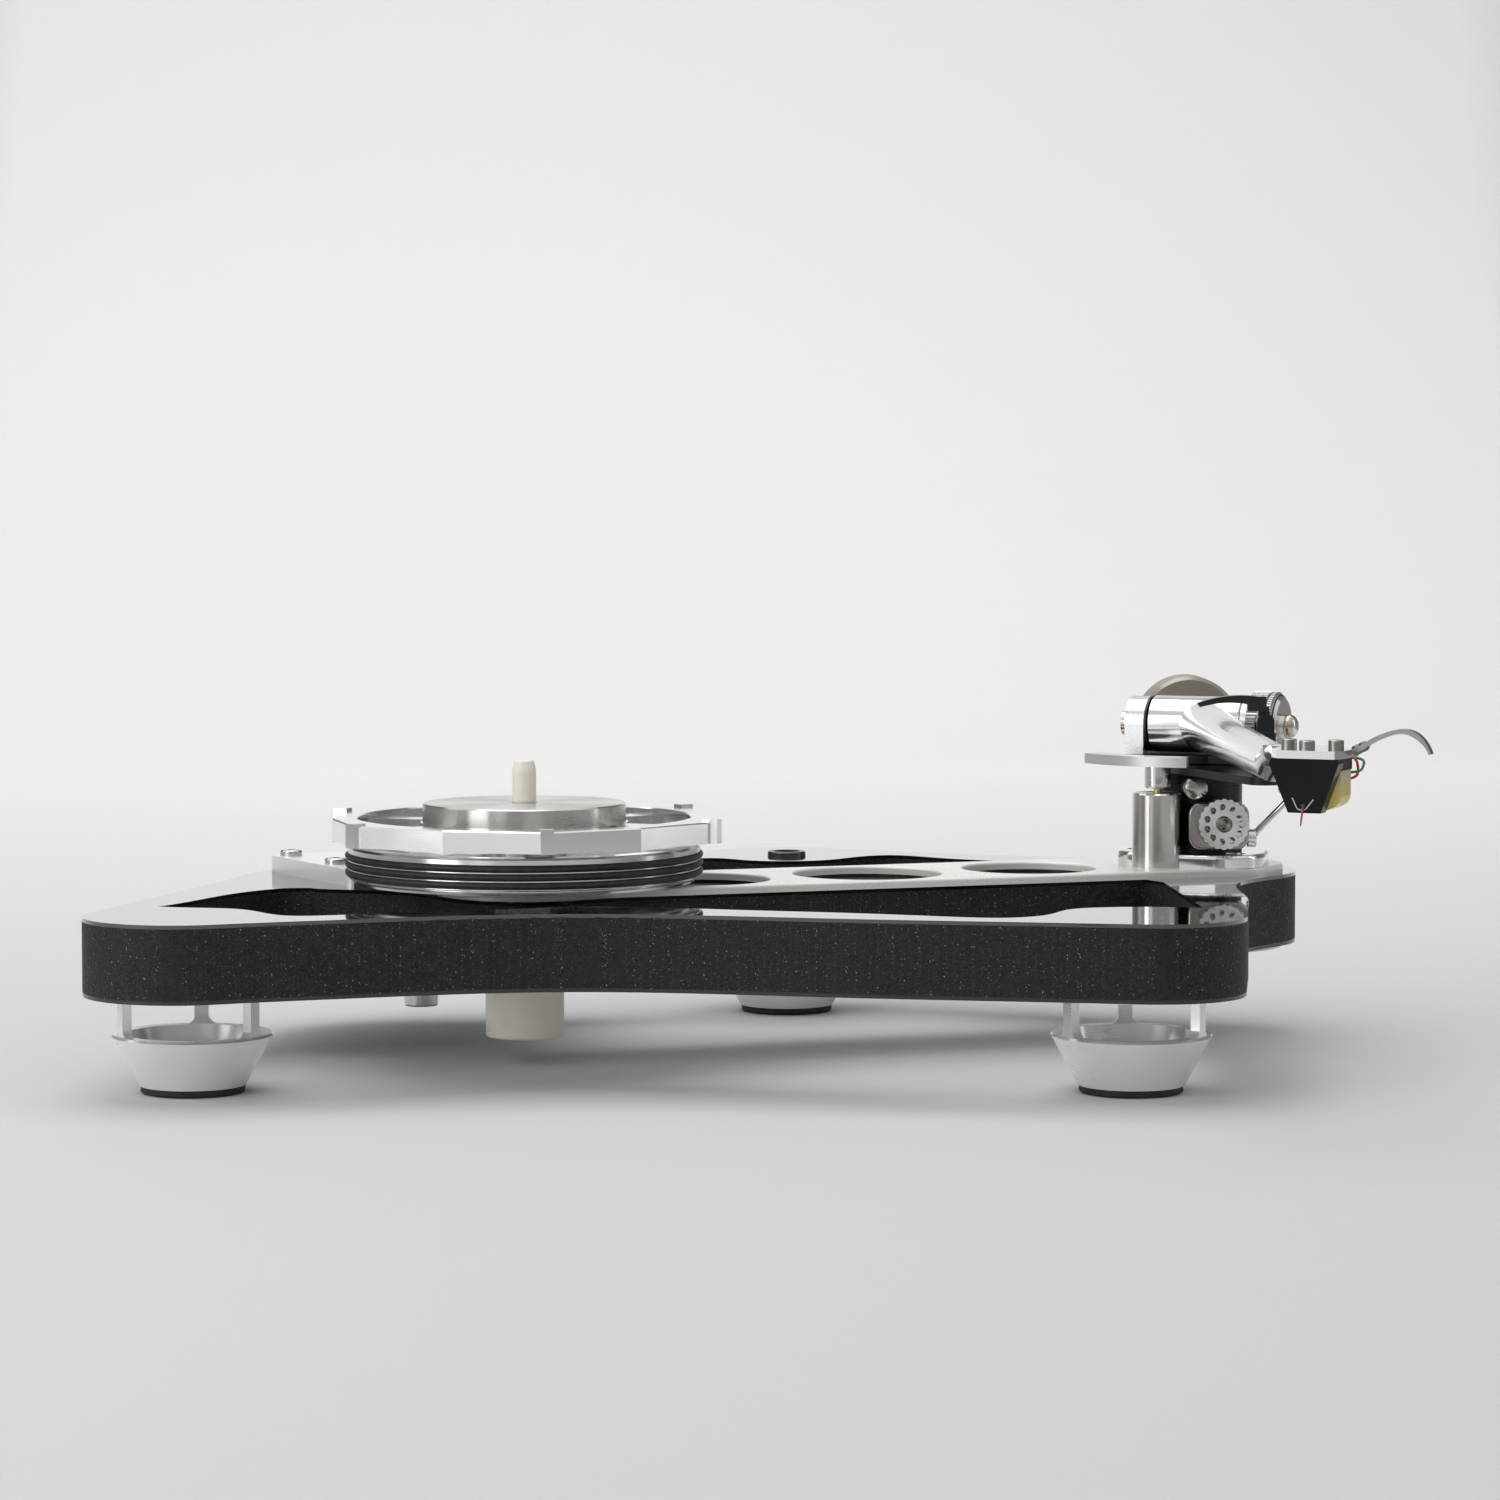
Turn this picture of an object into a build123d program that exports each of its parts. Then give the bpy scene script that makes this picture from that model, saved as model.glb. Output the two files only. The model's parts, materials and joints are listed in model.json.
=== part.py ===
from build123d import *
import os
from math import acos, cos, degrees, radians, sin, sqrt

os.makedirs("parts", exist_ok=True)

# Belt-drive turntable with a skeletal plinth, millimetres, +Z up.
# The origin is on the floor, under the middle of the whole machine.

# ---- driving dimensions ----
HUB_X = -61.548          # platter axis
HUB_Y = 3.785
ARM_REACH = 222.0        # spindle to arm pivot
ARM_BEARING = 19.76      # direction from the spindle to the pivot, degrees
YAW = 24.0               # the arm's tilt axis and the headshell share this offset
EFFECTIVE_LENGTH = 237.0  # arm pivot to stylus

PLINTH_BOTTOM = 28.6
PLINTH_TOP = 50.8
SKIN = 1.1
BRACE_TOP = 53.2
BRACE_WIDTH = 52.0
LOWER_BRACE = 1.6

ARM_Z = 96.6             # height of the tilt axis
BELT_Z = (57.4, 59.85, 62.3)
BELT_R = 1.0
RIM_BELT_R = 52.2        # belt centreline on the sub-platter
PULLEY_BELT_R = 9.2      # belt centreline on the pulley
FIT = 0.04               # radial clearance of a running fit

PIVOT_X = HUB_X + ARM_REACH * cos(radians(ARM_BEARING))
PIVOT_Y = HUB_Y + ARM_REACH * sin(radians(ARM_BEARING))
MOTOR_X = HUB_X - 36.0
MOTOR_Y = HUB_Y + 62.0
MOTOR_BEARING = 120.1    # direction from the hub to the motor, degrees
LIFT_X = PIVOT_X - 14.9
LIFT_Y = PIVOT_Y - 15.0
BIAS_X = PIVOT_X + 4.6
HEAD_Y = PIVOT_Y - EFFECTIVE_LENGTH

FEET = [(HUB_X - 91.0, HUB_Y - 61.5), (HUB_X + 175.3, HUB_Y - 61.5), (HUB_X + 79.1, HUB_Y + 126.9)]
BRACE_HOLES = [(54.0, 22.4), (109.5, 22.8), (163.5, 20.8)]   # distance from the hub, radius


def from_hub(x, y):
    """A plan point given from the platter axis."""
    return (HUB_X + x, HUB_Y + y)


def on_circle(cx, cy, r, angle):
    """A point on a circle, with the angle in degrees."""
    return (cx + r * cos(radians(angle)), cy + r * sin(radians(angle)))


def heading(angle):
    """A unit direction in the plan."""
    return (cos(radians(angle)), sin(radians(angle)))


def along_brace(distance, side=0.0):
    """A plan point so far from the hub along the brace, and so far to its left."""
    ux, uy = heading(ARM_BEARING)
    return (HUB_X + distance * ux - side * uy, HUB_Y + distance * uy + side * ux)


def arc(centre, r, start, end):
    """An arc about a centre given from the platter axis."""
    cx, cy = from_hub(*centre)
    points = [on_circle(cx, cy, r, angle) for angle in (start, (start + end) / 2, end)]
    return ThreePointArc(*points)


def yawed(across, forward, centre=(PIVOT_X, PIVOT_Y)):
    """A plan point given across and forward of a centre, in the arm's offset frame."""
    ax, ay = heading(-YAW)
    fx, fy = heading(-90 - YAW)
    return (centre[0] + across * ax + forward * fx, centre[1] + across * ay + forward * fy)


def tilt_plane(across):
    """A plane across the tilt axis; its x points to the back and its y points up."""
    x, y = yawed(across, 0)
    return Plane(origin=(x, y, ARM_Z), x_dir=(*heading(90 - YAW), 0), z_dir=(*heading(-YAW), 0))


# ---- plans shared by several pieces ----
FRONT_LEFT = (-92.3, -68.3)
FRONT_RIGHT = (181.5, -68.6)
PIVOT = (PIVOT_X - HUB_X, PIVOT_Y - HUB_Y)
REAR = (79.1, 126.9)

with BuildSketch() as plinth_plan:
    with BuildLine():
        left_corner = arc(FRONT_LEFT, 28.5, 165, 296)
        right_corner = arc(FRONT_RIGHT, 25.5, 262, 354)
        Spline(left_corner @ 1,
               from_hub(-52.6, -83.0), from_hub(-20, -71.6), from_hub(15, -65.0), from_hub(50, -68.2),
               from_hub(98, -79.4), from_hub(147.5, -88.4),
               right_corner @ 0, tangents=(heading(26), heading(-8)))
        arm_lobe = arc(PIVOT, 30.0, -36, 75)
        Spline(right_corner @ 1, from_hub(213.4, -10), from_hub(219.0, 37), arm_lobe @ 0,
               tangents=(heading(84), heading(54)))
        rear_lobe = arc(REAR, 31.0, 60, 165)
        Spline(arm_lobe @ 1, from_hub(181.5, 115.0), from_hub(138.8, 131.1), rear_lobe @ 0,
               tangents=(heading(165), heading(150)))
        motor_lobe = Spline(rear_lobe @ 1,
                            from_hub(34, 116), from_hub(8, 109), from_hub(-20, 109.5), from_hub(-47, 107),
                            from_hub(-68, 97), from_hub(-80, 83), from_hub(-87.5, 66), from_hub(-91.5, 46),
                            tangents=(heading(-105), heading(-98)))
        Line(motor_lobe @ 1, left_corner @ 0)
    make_face()
    # front opening, from the tip by the left foot round to the right bar and back along the brace
    with BuildLine():
        tip = from_hub(-103.0, -43.5)
        near_corner = from_hub(197.0, -47.5)
        Spline(tip, from_hub(-91, -47), from_hub(-79.5, -50.5), from_hub(-71.5, -60), from_hub(-63, -69.5),
               from_hub(-46, -66.6), from_hub(-21, -59.0), from_hub(3, -49), from_hub(29, -43),
               from_hub(55, -50.5), from_hub(92, -61), from_hub(121, -71.5), from_hub(140, -75.2),
               from_hub(151, -67), from_hub(159, -51), from_hub(173, -45), near_corner)
        right_bar = Line(near_corner, from_hub(193.2, 32))
        brace_side = Polyline(right_bar @ 1, along_brace(191.0, -25.0), along_brace(30.0, -25.0))
        hub_front = Spline(brace_side @ 1, from_hub(6, -30.5), from_hub(-16, -24), from_hub(-33, -1.5),
                           from_hub(-53.5, 7.4), from_hub(-64, 11.5), from_hub(-73, 12),
                           tangents=(heading(200), heading(195)))
        Spline(hub_front @ 1, from_hub(-79.5, 5.5), from_hub(-94, -24), tip)
    make_face(mode=Mode.SUBTRACT)
    # rear opening, between the brace and the rear arm
    with BuildLine():
        rear_tip = along_brace(192.0, 25.0)
        inner_end = along_brace(31.0, 25.0)
        Line(rear_tip, inner_end)
        Spline(inner_end, from_hub(7, 44), from_hub(3.5, 62), from_hub(10, 82), from_hub(24, 98),
               from_hub(44, 112), from_hub(57, 115.5), from_hub(66, 108), from_hub(79, 104.6),
               from_hub(92, 109), from_hub(101, 119.5), from_hub(112.5, 127), from_hub(128, 117),
               from_hub(150, 103.5), rear_tip)
    make_face(mode=Mode.SUBTRACT)

with BuildSketch() as brace_plan:
    with Locations(along_brace(ARM_REACH / 2)):
        SlotCenterToCenter(ARM_REACH, BRACE_WIDTH, rotation=ARM_BEARING)
    for distance, radius in BRACE_HOLES:
        with Locations(along_brace(distance)):
            Circle(radius, mode=Mode.SUBTRACT)

HOUSING_R = 11.7
MOTOR_R = 24.2
ARM_BOSS_R = 10.0
SOCKET_R = 6.5
SOCKET_PLANE = Plane(origin=(HUB_X - 20, HUB_Y + 106.0, 39.7), x_dir=(1, 0, 0), z_dir=(0, 1, 0))

# ---- plinth: a foam core between two skins, stiffened by a brace above and below ----
with BuildPart() as plinth_core:
    with BuildSketch(Plane.XY.offset(PLINTH_BOTTOM + SKIN)):
        add(plinth_plan.sketch)
        with Locations((HUB_X, HUB_Y)):
            Circle(HOUSING_R + 0.1, mode=Mode.SUBTRACT)
        with Locations((MOTOR_X, MOTOR_Y)):
            Circle(MOTOR_R + 0.2, mode=Mode.SUBTRACT)
        with Locations((PIVOT_X, PIVOT_Y)):
            Circle(ARM_BOSS_R + 0.1, mode=Mode.SUBTRACT)
        with Locations(*FEET):
            Circle(2.1, mode=Mode.SUBTRACT)
        with Locations(FEET[2]):
            Circle(4.1, mode=Mode.SUBTRACT)
    extrude(amount=PLINTH_TOP - PLINTH_BOTTOM - 2 * SKIN)
    with BuildSketch(SOCKET_PLANE):
        Circle(SOCKET_R + 0.1)
    extrude(amount=6, mode=Mode.SUBTRACT)
plinth_core.part.label = "plinth_core"
export_step(plinth_core.part, "parts/plinth_core.step")

with BuildPart() as top_skin:
    with BuildSketch(Plane.XY.offset(PLINTH_TOP - SKIN)):
        add(plinth_plan.sketch)
        with Locations((HUB_X, HUB_Y)):
            Circle(HOUSING_R + 0.1, mode=Mode.SUBTRACT)
        with Locations((MOTOR_X, MOTOR_Y)):
            Circle(MOTOR_R + 0.2, mode=Mode.SUBTRACT)
        with Locations((PIVOT_X, PIVOT_Y)):
            Circle(ARM_BOSS_R + 0.1, mode=Mode.SUBTRACT)
        with Locations(FEET[2]):
            Circle(4.1, mode=Mode.SUBTRACT)
        for distance, radius in BRACE_HOLES:
            with Locations(along_brace(distance)):
                Circle(radius, mode=Mode.SUBTRACT)
    extrude(amount=SKIN)
top_skin.part.label = "top_skin"
export_step(top_skin.part, "parts/top_skin.step")

with BuildPart() as bottom_skin:
    with BuildSketch(Plane.XY.offset(PLINTH_BOTTOM)):
        add(plinth_plan.sketch)
        with Locations((HUB_X, HUB_Y)):
            Circle(HOUSING_R + 0.1, mode=Mode.SUBTRACT)
        with Locations((MOTOR_X, MOTOR_Y + 3.5)):
            Circle(6.0, mode=Mode.SUBTRACT)
        with Locations((PIVOT_X, PIVOT_Y)):
            Circle(ARM_BOSS_R + 0.1, mode=Mode.SUBTRACT)
        with Locations(*FEET):
            Circle(2.1, mode=Mode.SUBTRACT)
    extrude(amount=SKIN)
bottom_skin.part.label = "bottom_skin"
export_step(bottom_skin.part, "parts/bottom_skin.step")

with BuildPart() as top_brace:
    with BuildSketch(Plane.XY.offset(PLINTH_TOP)):
        add(brace_plan.sketch)
        with Locations((HUB_X, HUB_Y)):
            Circle(HOUSING_R + 0.1, mode=Mode.SUBTRACT)
        with Locations((PIVOT_X, PIVOT_Y)):
            Circle(ARM_BOSS_R + 0.1, mode=Mode.SUBTRACT)
    extrude(amount=BRACE_TOP - PLINTH_TOP)
    fillet(top_brace.edges().group_by(Axis.Z)[-1], 0.8)
top_brace.part.label = "top_brace"
export_step(top_brace.part, "parts/top_brace.step")

with BuildPart() as lower_brace:
    with BuildSketch(Plane.XY.offset(PLINTH_BOTTOM - LOWER_BRACE)):
        with Locations(along_brace(ARM_REACH / 2)):
            SlotCenterToCenter(ARM_REACH, BRACE_WIDTH, rotation=ARM_BEARING)
        with Locations((HUB_X, HUB_Y)):
            Circle(HOUSING_R + 0.1, mode=Mode.SUBTRACT)
        with Locations((PIVOT_X, PIVOT_Y)):
            Circle(ARM_BOSS_R + 0.1, mode=Mode.SUBTRACT)
    extrude(amount=LOWER_BRACE)
    fillet(lower_brace.edges().group_by(Axis.Z)[0], 0.6)
lower_brace.part.label = "lower_brace"
export_step(lower_brace.part, "parts/lower_brace.step")

with BuildPart() as rear_plug:
    with BuildSketch(Plane.XY.offset(PLINTH_TOP - SKIN - 3)):
        with Locations(FEET[2]):
            Circle(4.0)
    extrude(amount=SKIN + 3)
    with BuildSketch(Plane.XY.offset(PLINTH_TOP)):
        with Locations(FEET[2]):
            Circle(6.2)
    extrude(amount=1.4)
    fillet(rear_plug.edges().group_by(Axis.Z)[-1], 0.5)
    with BuildSketch(Plane.XY.offset(PLINTH_TOP + 1.4)):
        with Locations(FEET[2]):
            Circle(4.3)
    extrude(amount=-0.9, mode=Mode.SUBTRACT)
rear_plug.part.label = "rear_plug"
export_step(rear_plug.part, "parts/rear_plug.step")

# ---- feet: an open aluminium cup on a rubber pad, joined by three pillars to a thin flange ----
PAD_R = 14.8
PAD_HEIGHT = 2.0
CUP_RIM_Z = 16.7
CUP_RIM_R = 22.9
FLANGE = 1.4
PILLAR_R = 20.6
FOOT_NAMES = ["front_left_foot", "front_right_foot", "rear_foot"]

for (foot_x, foot_y), foot_name in zip(FEET, FOOT_NAMES):
    with BuildPart() as foot:
        with BuildSketch(Plane(origin=(foot_x, foot_y, 0), x_dir=(1, 0, 0), z_dir=(0, -1, 0))):
            with BuildLine():
                Polyline((0, PAD_HEIGHT), (15.2, PAD_HEIGHT), (CUP_RIM_R, CUP_RIM_Z - 0.6),
                         (CUP_RIM_R - 0.5, CUP_RIM_Z), (18.7, CUP_RIM_Z))
                Spline((18.7, CUP_RIM_Z), (16.2, 10.0), (12.6, 5.6), (0, 4.6),
                       tangents=((-0.25, -1), (-1, 0)))
                Line((0, 4.6), (0, PAD_HEIGHT))
            make_face()
        revolve(axis=Axis((foot_x, foot_y, 0), (0, 0, 1)))
        with BuildSketch(Plane.XY.offset(PLINTH_BOTTOM - FLANGE)):
            with Locations((foot_x, foot_y)):
                Circle(CUP_RIM_R - 0.7)
        extrude(amount=FLANGE)
        with BuildSketch(Plane.XY.offset(CUP_RIM_Z - 0.3)):
            for angle in (90, 210, 330):
                with Locations(on_circle(foot_x, foot_y, PILLAR_R, angle)):
                    Rectangle(2.8, 4.0, rotation=angle)
        extrude(amount=PLINTH_BOTTOM - FLANGE - CUP_RIM_Z + 0.6)
        # flared roots where the pillars leave the rim
        for angle in (90, 210, 330):
            root_x, root_y = on_circle(foot_x, foot_y, PILLAR_R, angle)
            with BuildSketch(Plane(origin=(root_x, root_y, CUP_RIM_Z - 0.1),
                                   x_dir=(-sin(radians(angle)), cos(radians(angle)), 0),
                                   z_dir=(cos(radians(angle)), sin(radians(angle)), 0))):
                with BuildLine():
                    Spline((-4.6, 0), (-2.8, 0.8), (-1.9, 2.8), tangents=((1, 0), (0, 1)))
                    Line((-1.9, 2.8), (1.9, 2.8))
                    Spline((1.9, 2.8), (2.8, 0.8), (4.6, 0), tangents=((0, -1), (1, 0)))
                    Line((4.6, 0), (-4.6, 0))
                make_face()
            extrude(amount=1.3, both=True)
        with BuildSketch(Plane.XY.offset(PLINTH_BOTTOM - FLANGE)):
            with Locations((foot_x, foot_y)):
                Circle(4.2)
        extrude(amount=FLANGE, mode=Mode.SUBTRACT)
    foot.part.label = foot_name
    export_step(foot.part, f"parts/{foot_name}.step")

with BuildPart() as foot_pads:
    with BuildSketch():
        with Locations(*FEET):
            Circle(PAD_R)
    extrude(amount=PAD_HEIGHT)
    chamfer(foot_pads.edges().group_by(Axis.Z)[0], 0.4)
foot_pads.part.label = "foot_pads"
export_step(foot_pads.part, "parts/foot_pads.step")

with BuildPart() as foot_screws:
    with BuildSketch(Plane.XY.offset(PLINTH_BOTTOM - FLANGE)):
        with Locations(*FEET):
            Circle(4.15)
    extrude(amount=FLANGE)
    with BuildSketch(Plane.XY.offset(PLINTH_BOTTOM)):
        with Locations(*FEET):
            Circle(2.0)
    extrude(amount=14)
    with BuildSketch(Plane.XY.offset(PLINTH_BOTTOM - FLANGE)):
        with Locations(*FEET):
            RegularPolygon(1.6, 6)
    extrude(amount=0.9, mode=Mode.SUBTRACT)
foot_screws.part.label = "foot_screws"
export_step(foot_screws.part, "parts/foot_screws.step")

# ---- main bearing ----
HOUSING_BOTTOM = 7.8
SHAFT_R = 5.0
BUSH_R = 8.0
BALL_R = 2.5
WELL_FLOOR = 11.0
NUT_TOP = 57.0

with BuildPart() as bearing_housing:
    with BuildSketch(Plane.XY.offset(HOUSING_BOTTOM)):
        with Locations((HUB_X, HUB_Y)):
            Circle(HOUSING_R)
    extrude(amount=NUT_TOP - HOUSING_BOTTOM)
    fillet(bearing_housing.edges().group_by(Axis.Z)[0], 0.7)
    with BuildSketch(Plane.XY.offset(WELL_FLOOR)):
        with Locations((HUB_X, HUB_Y)):
            Circle(BUSH_R)
    extrude(amount=NUT_TOP - WELL_FLOOR, mode=Mode.SUBTRACT)
bearing_housing.part.label = "bearing_housing"
export_step(bearing_housing.part, "parts/bearing_housing.step")

with BuildPart() as bearing_nut:
    with BuildSketch(Plane.XY.offset(BRACE_TOP)):
        with Locations((HUB_X, HUB_Y)):
            RegularPolygon(16.0, 6)
            Circle(HOUSING_R + 0.05, mode=Mode.SUBTRACT)
    extrude(amount=NUT_TOP - BRACE_TOP - 0.4)
    chamfer(bearing_nut.edges().group_by(Axis.Z)[-1].filter_by(GeomType.LINE), 0.5)
bearing_nut.part.label = "bearing_nut"
export_step(bearing_nut.part, "parts/bearing_nut.step")

with BuildPart() as bearing_bush:
    with BuildSketch(Plane.XY.offset(18)):
        with Locations((HUB_X, HUB_Y)):
            Circle(BUSH_R)
            Circle(SHAFT_R + FIT, mode=Mode.SUBTRACT)
    extrude(amount=NUT_TOP - 18)
bearing_bush.part.label = "bearing_bush"
export_step(bearing_bush.part, "parts/bearing_bush.step")

with BuildPart() as thrust_ball:
    with Locations((HUB_X, HUB_Y, WELL_FLOOR + BALL_R)):
        Sphere(BALL_R)
thrust_ball.part.label = "thrust_ball"
export_step(thrust_ball.part, "parts/thrust_ball.step")

# ---- rotating platter group ----
HUB_DISC_R = 30.25
HUB_DISC_BOTTOM = 71.9
HUB_DISC_TOP = 77.6
RIM_R = 52.4
RING_BOTTOM = 67.2
RING_TOP = 73.5
RIM_TOP = 65.3
LUG_R = 62.3
LUG_ANGLE = -81.0
LUG_TOP = 74.3
SPINDLE_R = 3.57
SPINDLE_NECK_R = 3.3
SPINDLE_TOP = 90.2

with BuildPart() as platter_shaft:
    with BuildSketch(Plane.XY.offset(WELL_FLOOR + 2 * BALL_R + 0.03)):
        with Locations((HUB_X, HUB_Y)):
            Circle(SHAFT_R)
    extrude(amount=HUB_DISC_BOTTOM - WELL_FLOOR - 2 * BALL_R - 0.03)
    chamfer(platter_shaft.edges().group_by(Axis.Z)[0], 0.6)
platter_shaft.part.label = "platter_shaft"
export_step(platter_shaft.part, "parts/platter_shaft.step")

with BuildPart() as subplatter:
    with BuildSketch(Plane(origin=(HUB_X, HUB_Y, 0), x_dir=(1, 0, 0), z_dir=(0, -1, 0))):
        with BuildLine():
            Polyline((SHAFT_R, 58.0), (47, 58.0), (47.8, 54.4), (50.6, 54.4), (51.0, 55.1), (50.2, 55.3),
                     (50.2, 55.6), (RIM_R - 0.3, 55.8), (RIM_R, 56.1), (RIM_R, 64.7),
                     (RIM_R - 0.6, RIM_TOP), (47, RIM_TOP), (47, 62.0), (13, 62.0), (13, 66.6),
                     (SHAFT_R, 66.6), close=True)
        make_face()
        with Locations(*[(RIM_BELT_R, z) for z in BELT_Z]):
            Circle(BELT_R + 0.1, mode=Mode.SUBTRACT)
    revolve(axis=Axis((HUB_X, HUB_Y, 0), (0, 0, 1)))
subplatter.part.label = "subplatter"
export_step(subplatter.part, "parts/subplatter.step")

with BuildPart() as support_ring:
    # a twelve-sided ring whose corners are alternately lug seats and shallow bends
    corners = []
    for k in range(6):
        corners.append(on_circle(HUB_X, HUB_Y, 61.0, LUG_ANGLE + 60 * k))
        corners.append(on_circle(HUB_X, HUB_Y, 57.0, LUG_ANGLE + 60 * k + 30))
    with BuildSketch(Plane.XY.offset(RIM_TOP)):
        with BuildLine():
            Polyline(*corners, close=True)
        make_face()
        with Locations((HUB_X, HUB_Y)):
            Circle(49.5, mode=Mode.SUBTRACT)
    extrude(amount=RING_TOP - RIM_TOP)
    chamfer(support_ring.edges().group_by(Axis.Z)[-1], 0.4)
    # arches under the lugs leave pointed tongues that stand on the rim at the bends
    for k in range(6):
        angle = LUG_ANGLE + 60 * k
        out_x, out_y = heading(angle)
        with BuildSketch(Plane(origin=(HUB_X + 40 * out_x, HUB_Y + 40 * out_y, 0),
                               x_dir=(-out_y, out_x, 0), z_dir=(out_x, out_y, 0))):
            with BuildLine():
                Polyline((-34, RIM_TOP - 1), (34, RIM_TOP - 1), (34, RIM_TOP), (30, RIM_TOP))
                Spline((30, RIM_TOP), (21, RING_BOTTOM - 0.3), (13, RING_BOTTOM),
                       tangents=((-0.5, 0.6), (-1, 0)))
                Line((13, RING_BOTTOM), (-13, RING_BOTTOM))
                Spline((-13, RING_BOTTOM), (-21, RING_BOTTOM - 0.3), (-30, RIM_TOP),
                       tangents=((-1, 0), (-0.5, -0.6)))
                Polyline((-30, RIM_TOP), (-34, RIM_TOP), (-34, RIM_TOP - 1))
            make_face()
        extrude(amount=30, mode=Mode.SUBTRACT)
    # six spokes to an inner disc that carries the hub
    with BuildSketch(Plane.XY.offset(RING_BOTTOM)):
        with Locations((HUB_X, HUB_Y)):
            Circle(HUB_DISC_R + 0.6)
        for k in range(6):
            angle = LUG_ANGLE + 60 * k
            with Locations(on_circle(HUB_X, HUB_Y, 42.0, angle)):
                Rectangle(30, 9, rotation=angle)
        with Locations((HUB_X, HUB_Y)):
            Circle(SHAFT_R, mode=Mode.SUBTRACT)
    extrude(amount=HUB_DISC_BOTTOM - RING_BOTTOM)
    for k in range(6):
        angle = LUG_ANGLE + 60 * k
        with BuildSketch(Plane.XY.offset(RING_BOTTOM)):
            with Locations(on_circle(HUB_X, HUB_Y, LUG_R - 2.2, angle)):
                Rectangle(4.4, 3.8, rotation=angle)
        extrude(amount=LUG_TOP - RING_BOTTOM)
support_ring.part.label = "support_ring"
export_step(support_ring.part, "parts/support_ring.step")

with BuildPart() as hub_disc:
    with BuildSketch(Plane.XY.offset(HUB_DISC_BOTTOM)):
        with Locations((HUB_X, HUB_Y)):
            Circle(HUB_DISC_R)
    extrude(amount=HUB_DISC_TOP - HUB_DISC_BOTTOM)
    chamfer(hub_disc.edges().group_by(Axis.Z)[-1], 0.4)
    with BuildSketch(Plane.XY.offset(HUB_DISC_BOTTOM)):
        with Locations((HUB_X, HUB_Y)):
            Circle(SPINDLE_NECK_R)
    extrude(amount=HUB_DISC_TOP - HUB_DISC_BOTTOM, mode=Mode.SUBTRACT)
    with BuildSketch(Plane.XY.offset(HUB_DISC_TOP)):
        with Locations((HUB_X, HUB_Y)):
            Circle(SPINDLE_R + 0.25)
    extrude(amount=-0.4, mode=Mode.SUBTRACT)
hub_disc.part.label = "hub_disc"
export_step(hub_disc.part, "parts/hub_disc.step")

with BuildPart() as spindle:
    with BuildSketch(Plane(origin=(HUB_X, HUB_Y, 0), x_dir=(1, 0, 0), z_dir=(0, -1, 0))):
        with BuildLine():
            Polyline((0, HUB_DISC_BOTTOM), (SPINDLE_NECK_R, HUB_DISC_BOTTOM), (SPINDLE_NECK_R, HUB_DISC_TOP + 0.5),
                     (SPINDLE_R, HUB_DISC_TOP + 0.5), (SPINDLE_R, SPINDLE_TOP - 3.0), (3.0, SPINDLE_TOP - 0.6))
            ThreePointArc((3.0, SPINDLE_TOP - 0.6), (2.75, SPINDLE_TOP - 0.15), (2.3, SPINDLE_TOP))
            Polyline((2.3, SPINDLE_TOP), (0, SPINDLE_TOP), (0, HUB_DISC_BOTTOM))
        make_face()
    revolve(axis=Axis((HUB_X, HUB_Y, 0), (0, 0, 1)))
spindle.part.label = "spindle"
export_step(spindle.part, "parts/spindle.step")

# ---- motor, pulley and belts ----
MOTOR_PLATE_TOP = 55.9
with BuildPart() as motor_body:
    with BuildSketch(Plane.XY.offset(PLINTH_BOTTOM + SKIN)):
        with Locations((MOTOR_X, MOTOR_Y)):
            Circle(MOTOR_R)
    extrude(amount=PLINTH_TOP - PLINTH_BOTTOM - SKIN)
    fillet(motor_body.edges().group_by(Axis.Z)[0], 1.5)
    # a boss below the plinth carries the lower end of the rotor
    with BuildSketch(Plane(origin=(MOTOR_X, MOTOR_Y + 3.5, 0), x_dir=(1, 0, 0), z_dir=(0, -1, 0))):
        with BuildLine():
            Polyline((0, 8.9), (4.9, 8.9), (5.3, 9.4), (5.7, PLINTH_BOTTOM + SKIN), (5.7, PLINTH_BOTTOM + SKIN + 1),
                     (0, PLINTH_BOTTOM + SKIN + 1), close=True)
        make_face()
    revolve(axis=Axis((MOTOR_X, MOTOR_Y + 3.5, 0), (0, 0, 1)))
    with BuildSketch(Plane.XY.offset(PLINTH_TOP - 12)):
        with Locations((MOTOR_X, MOTOR_Y)):
            Circle(2.0 + FIT)
    extrude(amount=12, mode=Mode.SUBTRACT)
motor_body.part.label = "motor_body"
export_step(motor_body.part, "parts/motor_body.step")

motor_side = heading(MOTOR_BEARING + 90)
with BuildPart() as motor_plate:
    with BuildSketch(Plane(origin=(MOTOR_X, MOTOR_Y, PLINTH_TOP), x_dir=(*motor_side, 0), z_dir=(0, 0, 1))):
        RectangleRounded(76, 60, 3)
        Circle(2.6, mode=Mode.SUBTRACT)
    extrude(amount=MOTOR_PLATE_TOP - PLINTH_TOP)
    with BuildSketch(Plane.XY.offset(PLINTH_TOP)):
        with Locations((HUB_X, HUB_Y)):
            Circle(55.5)
    extrude(amount=MOTOR_PLATE_TOP - PLINTH_TOP, mode=Mode.SUBTRACT)
motor_plate.part.label = "motor_plate"
export_step(motor_plate.part, "parts/motor_plate.step")

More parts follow.
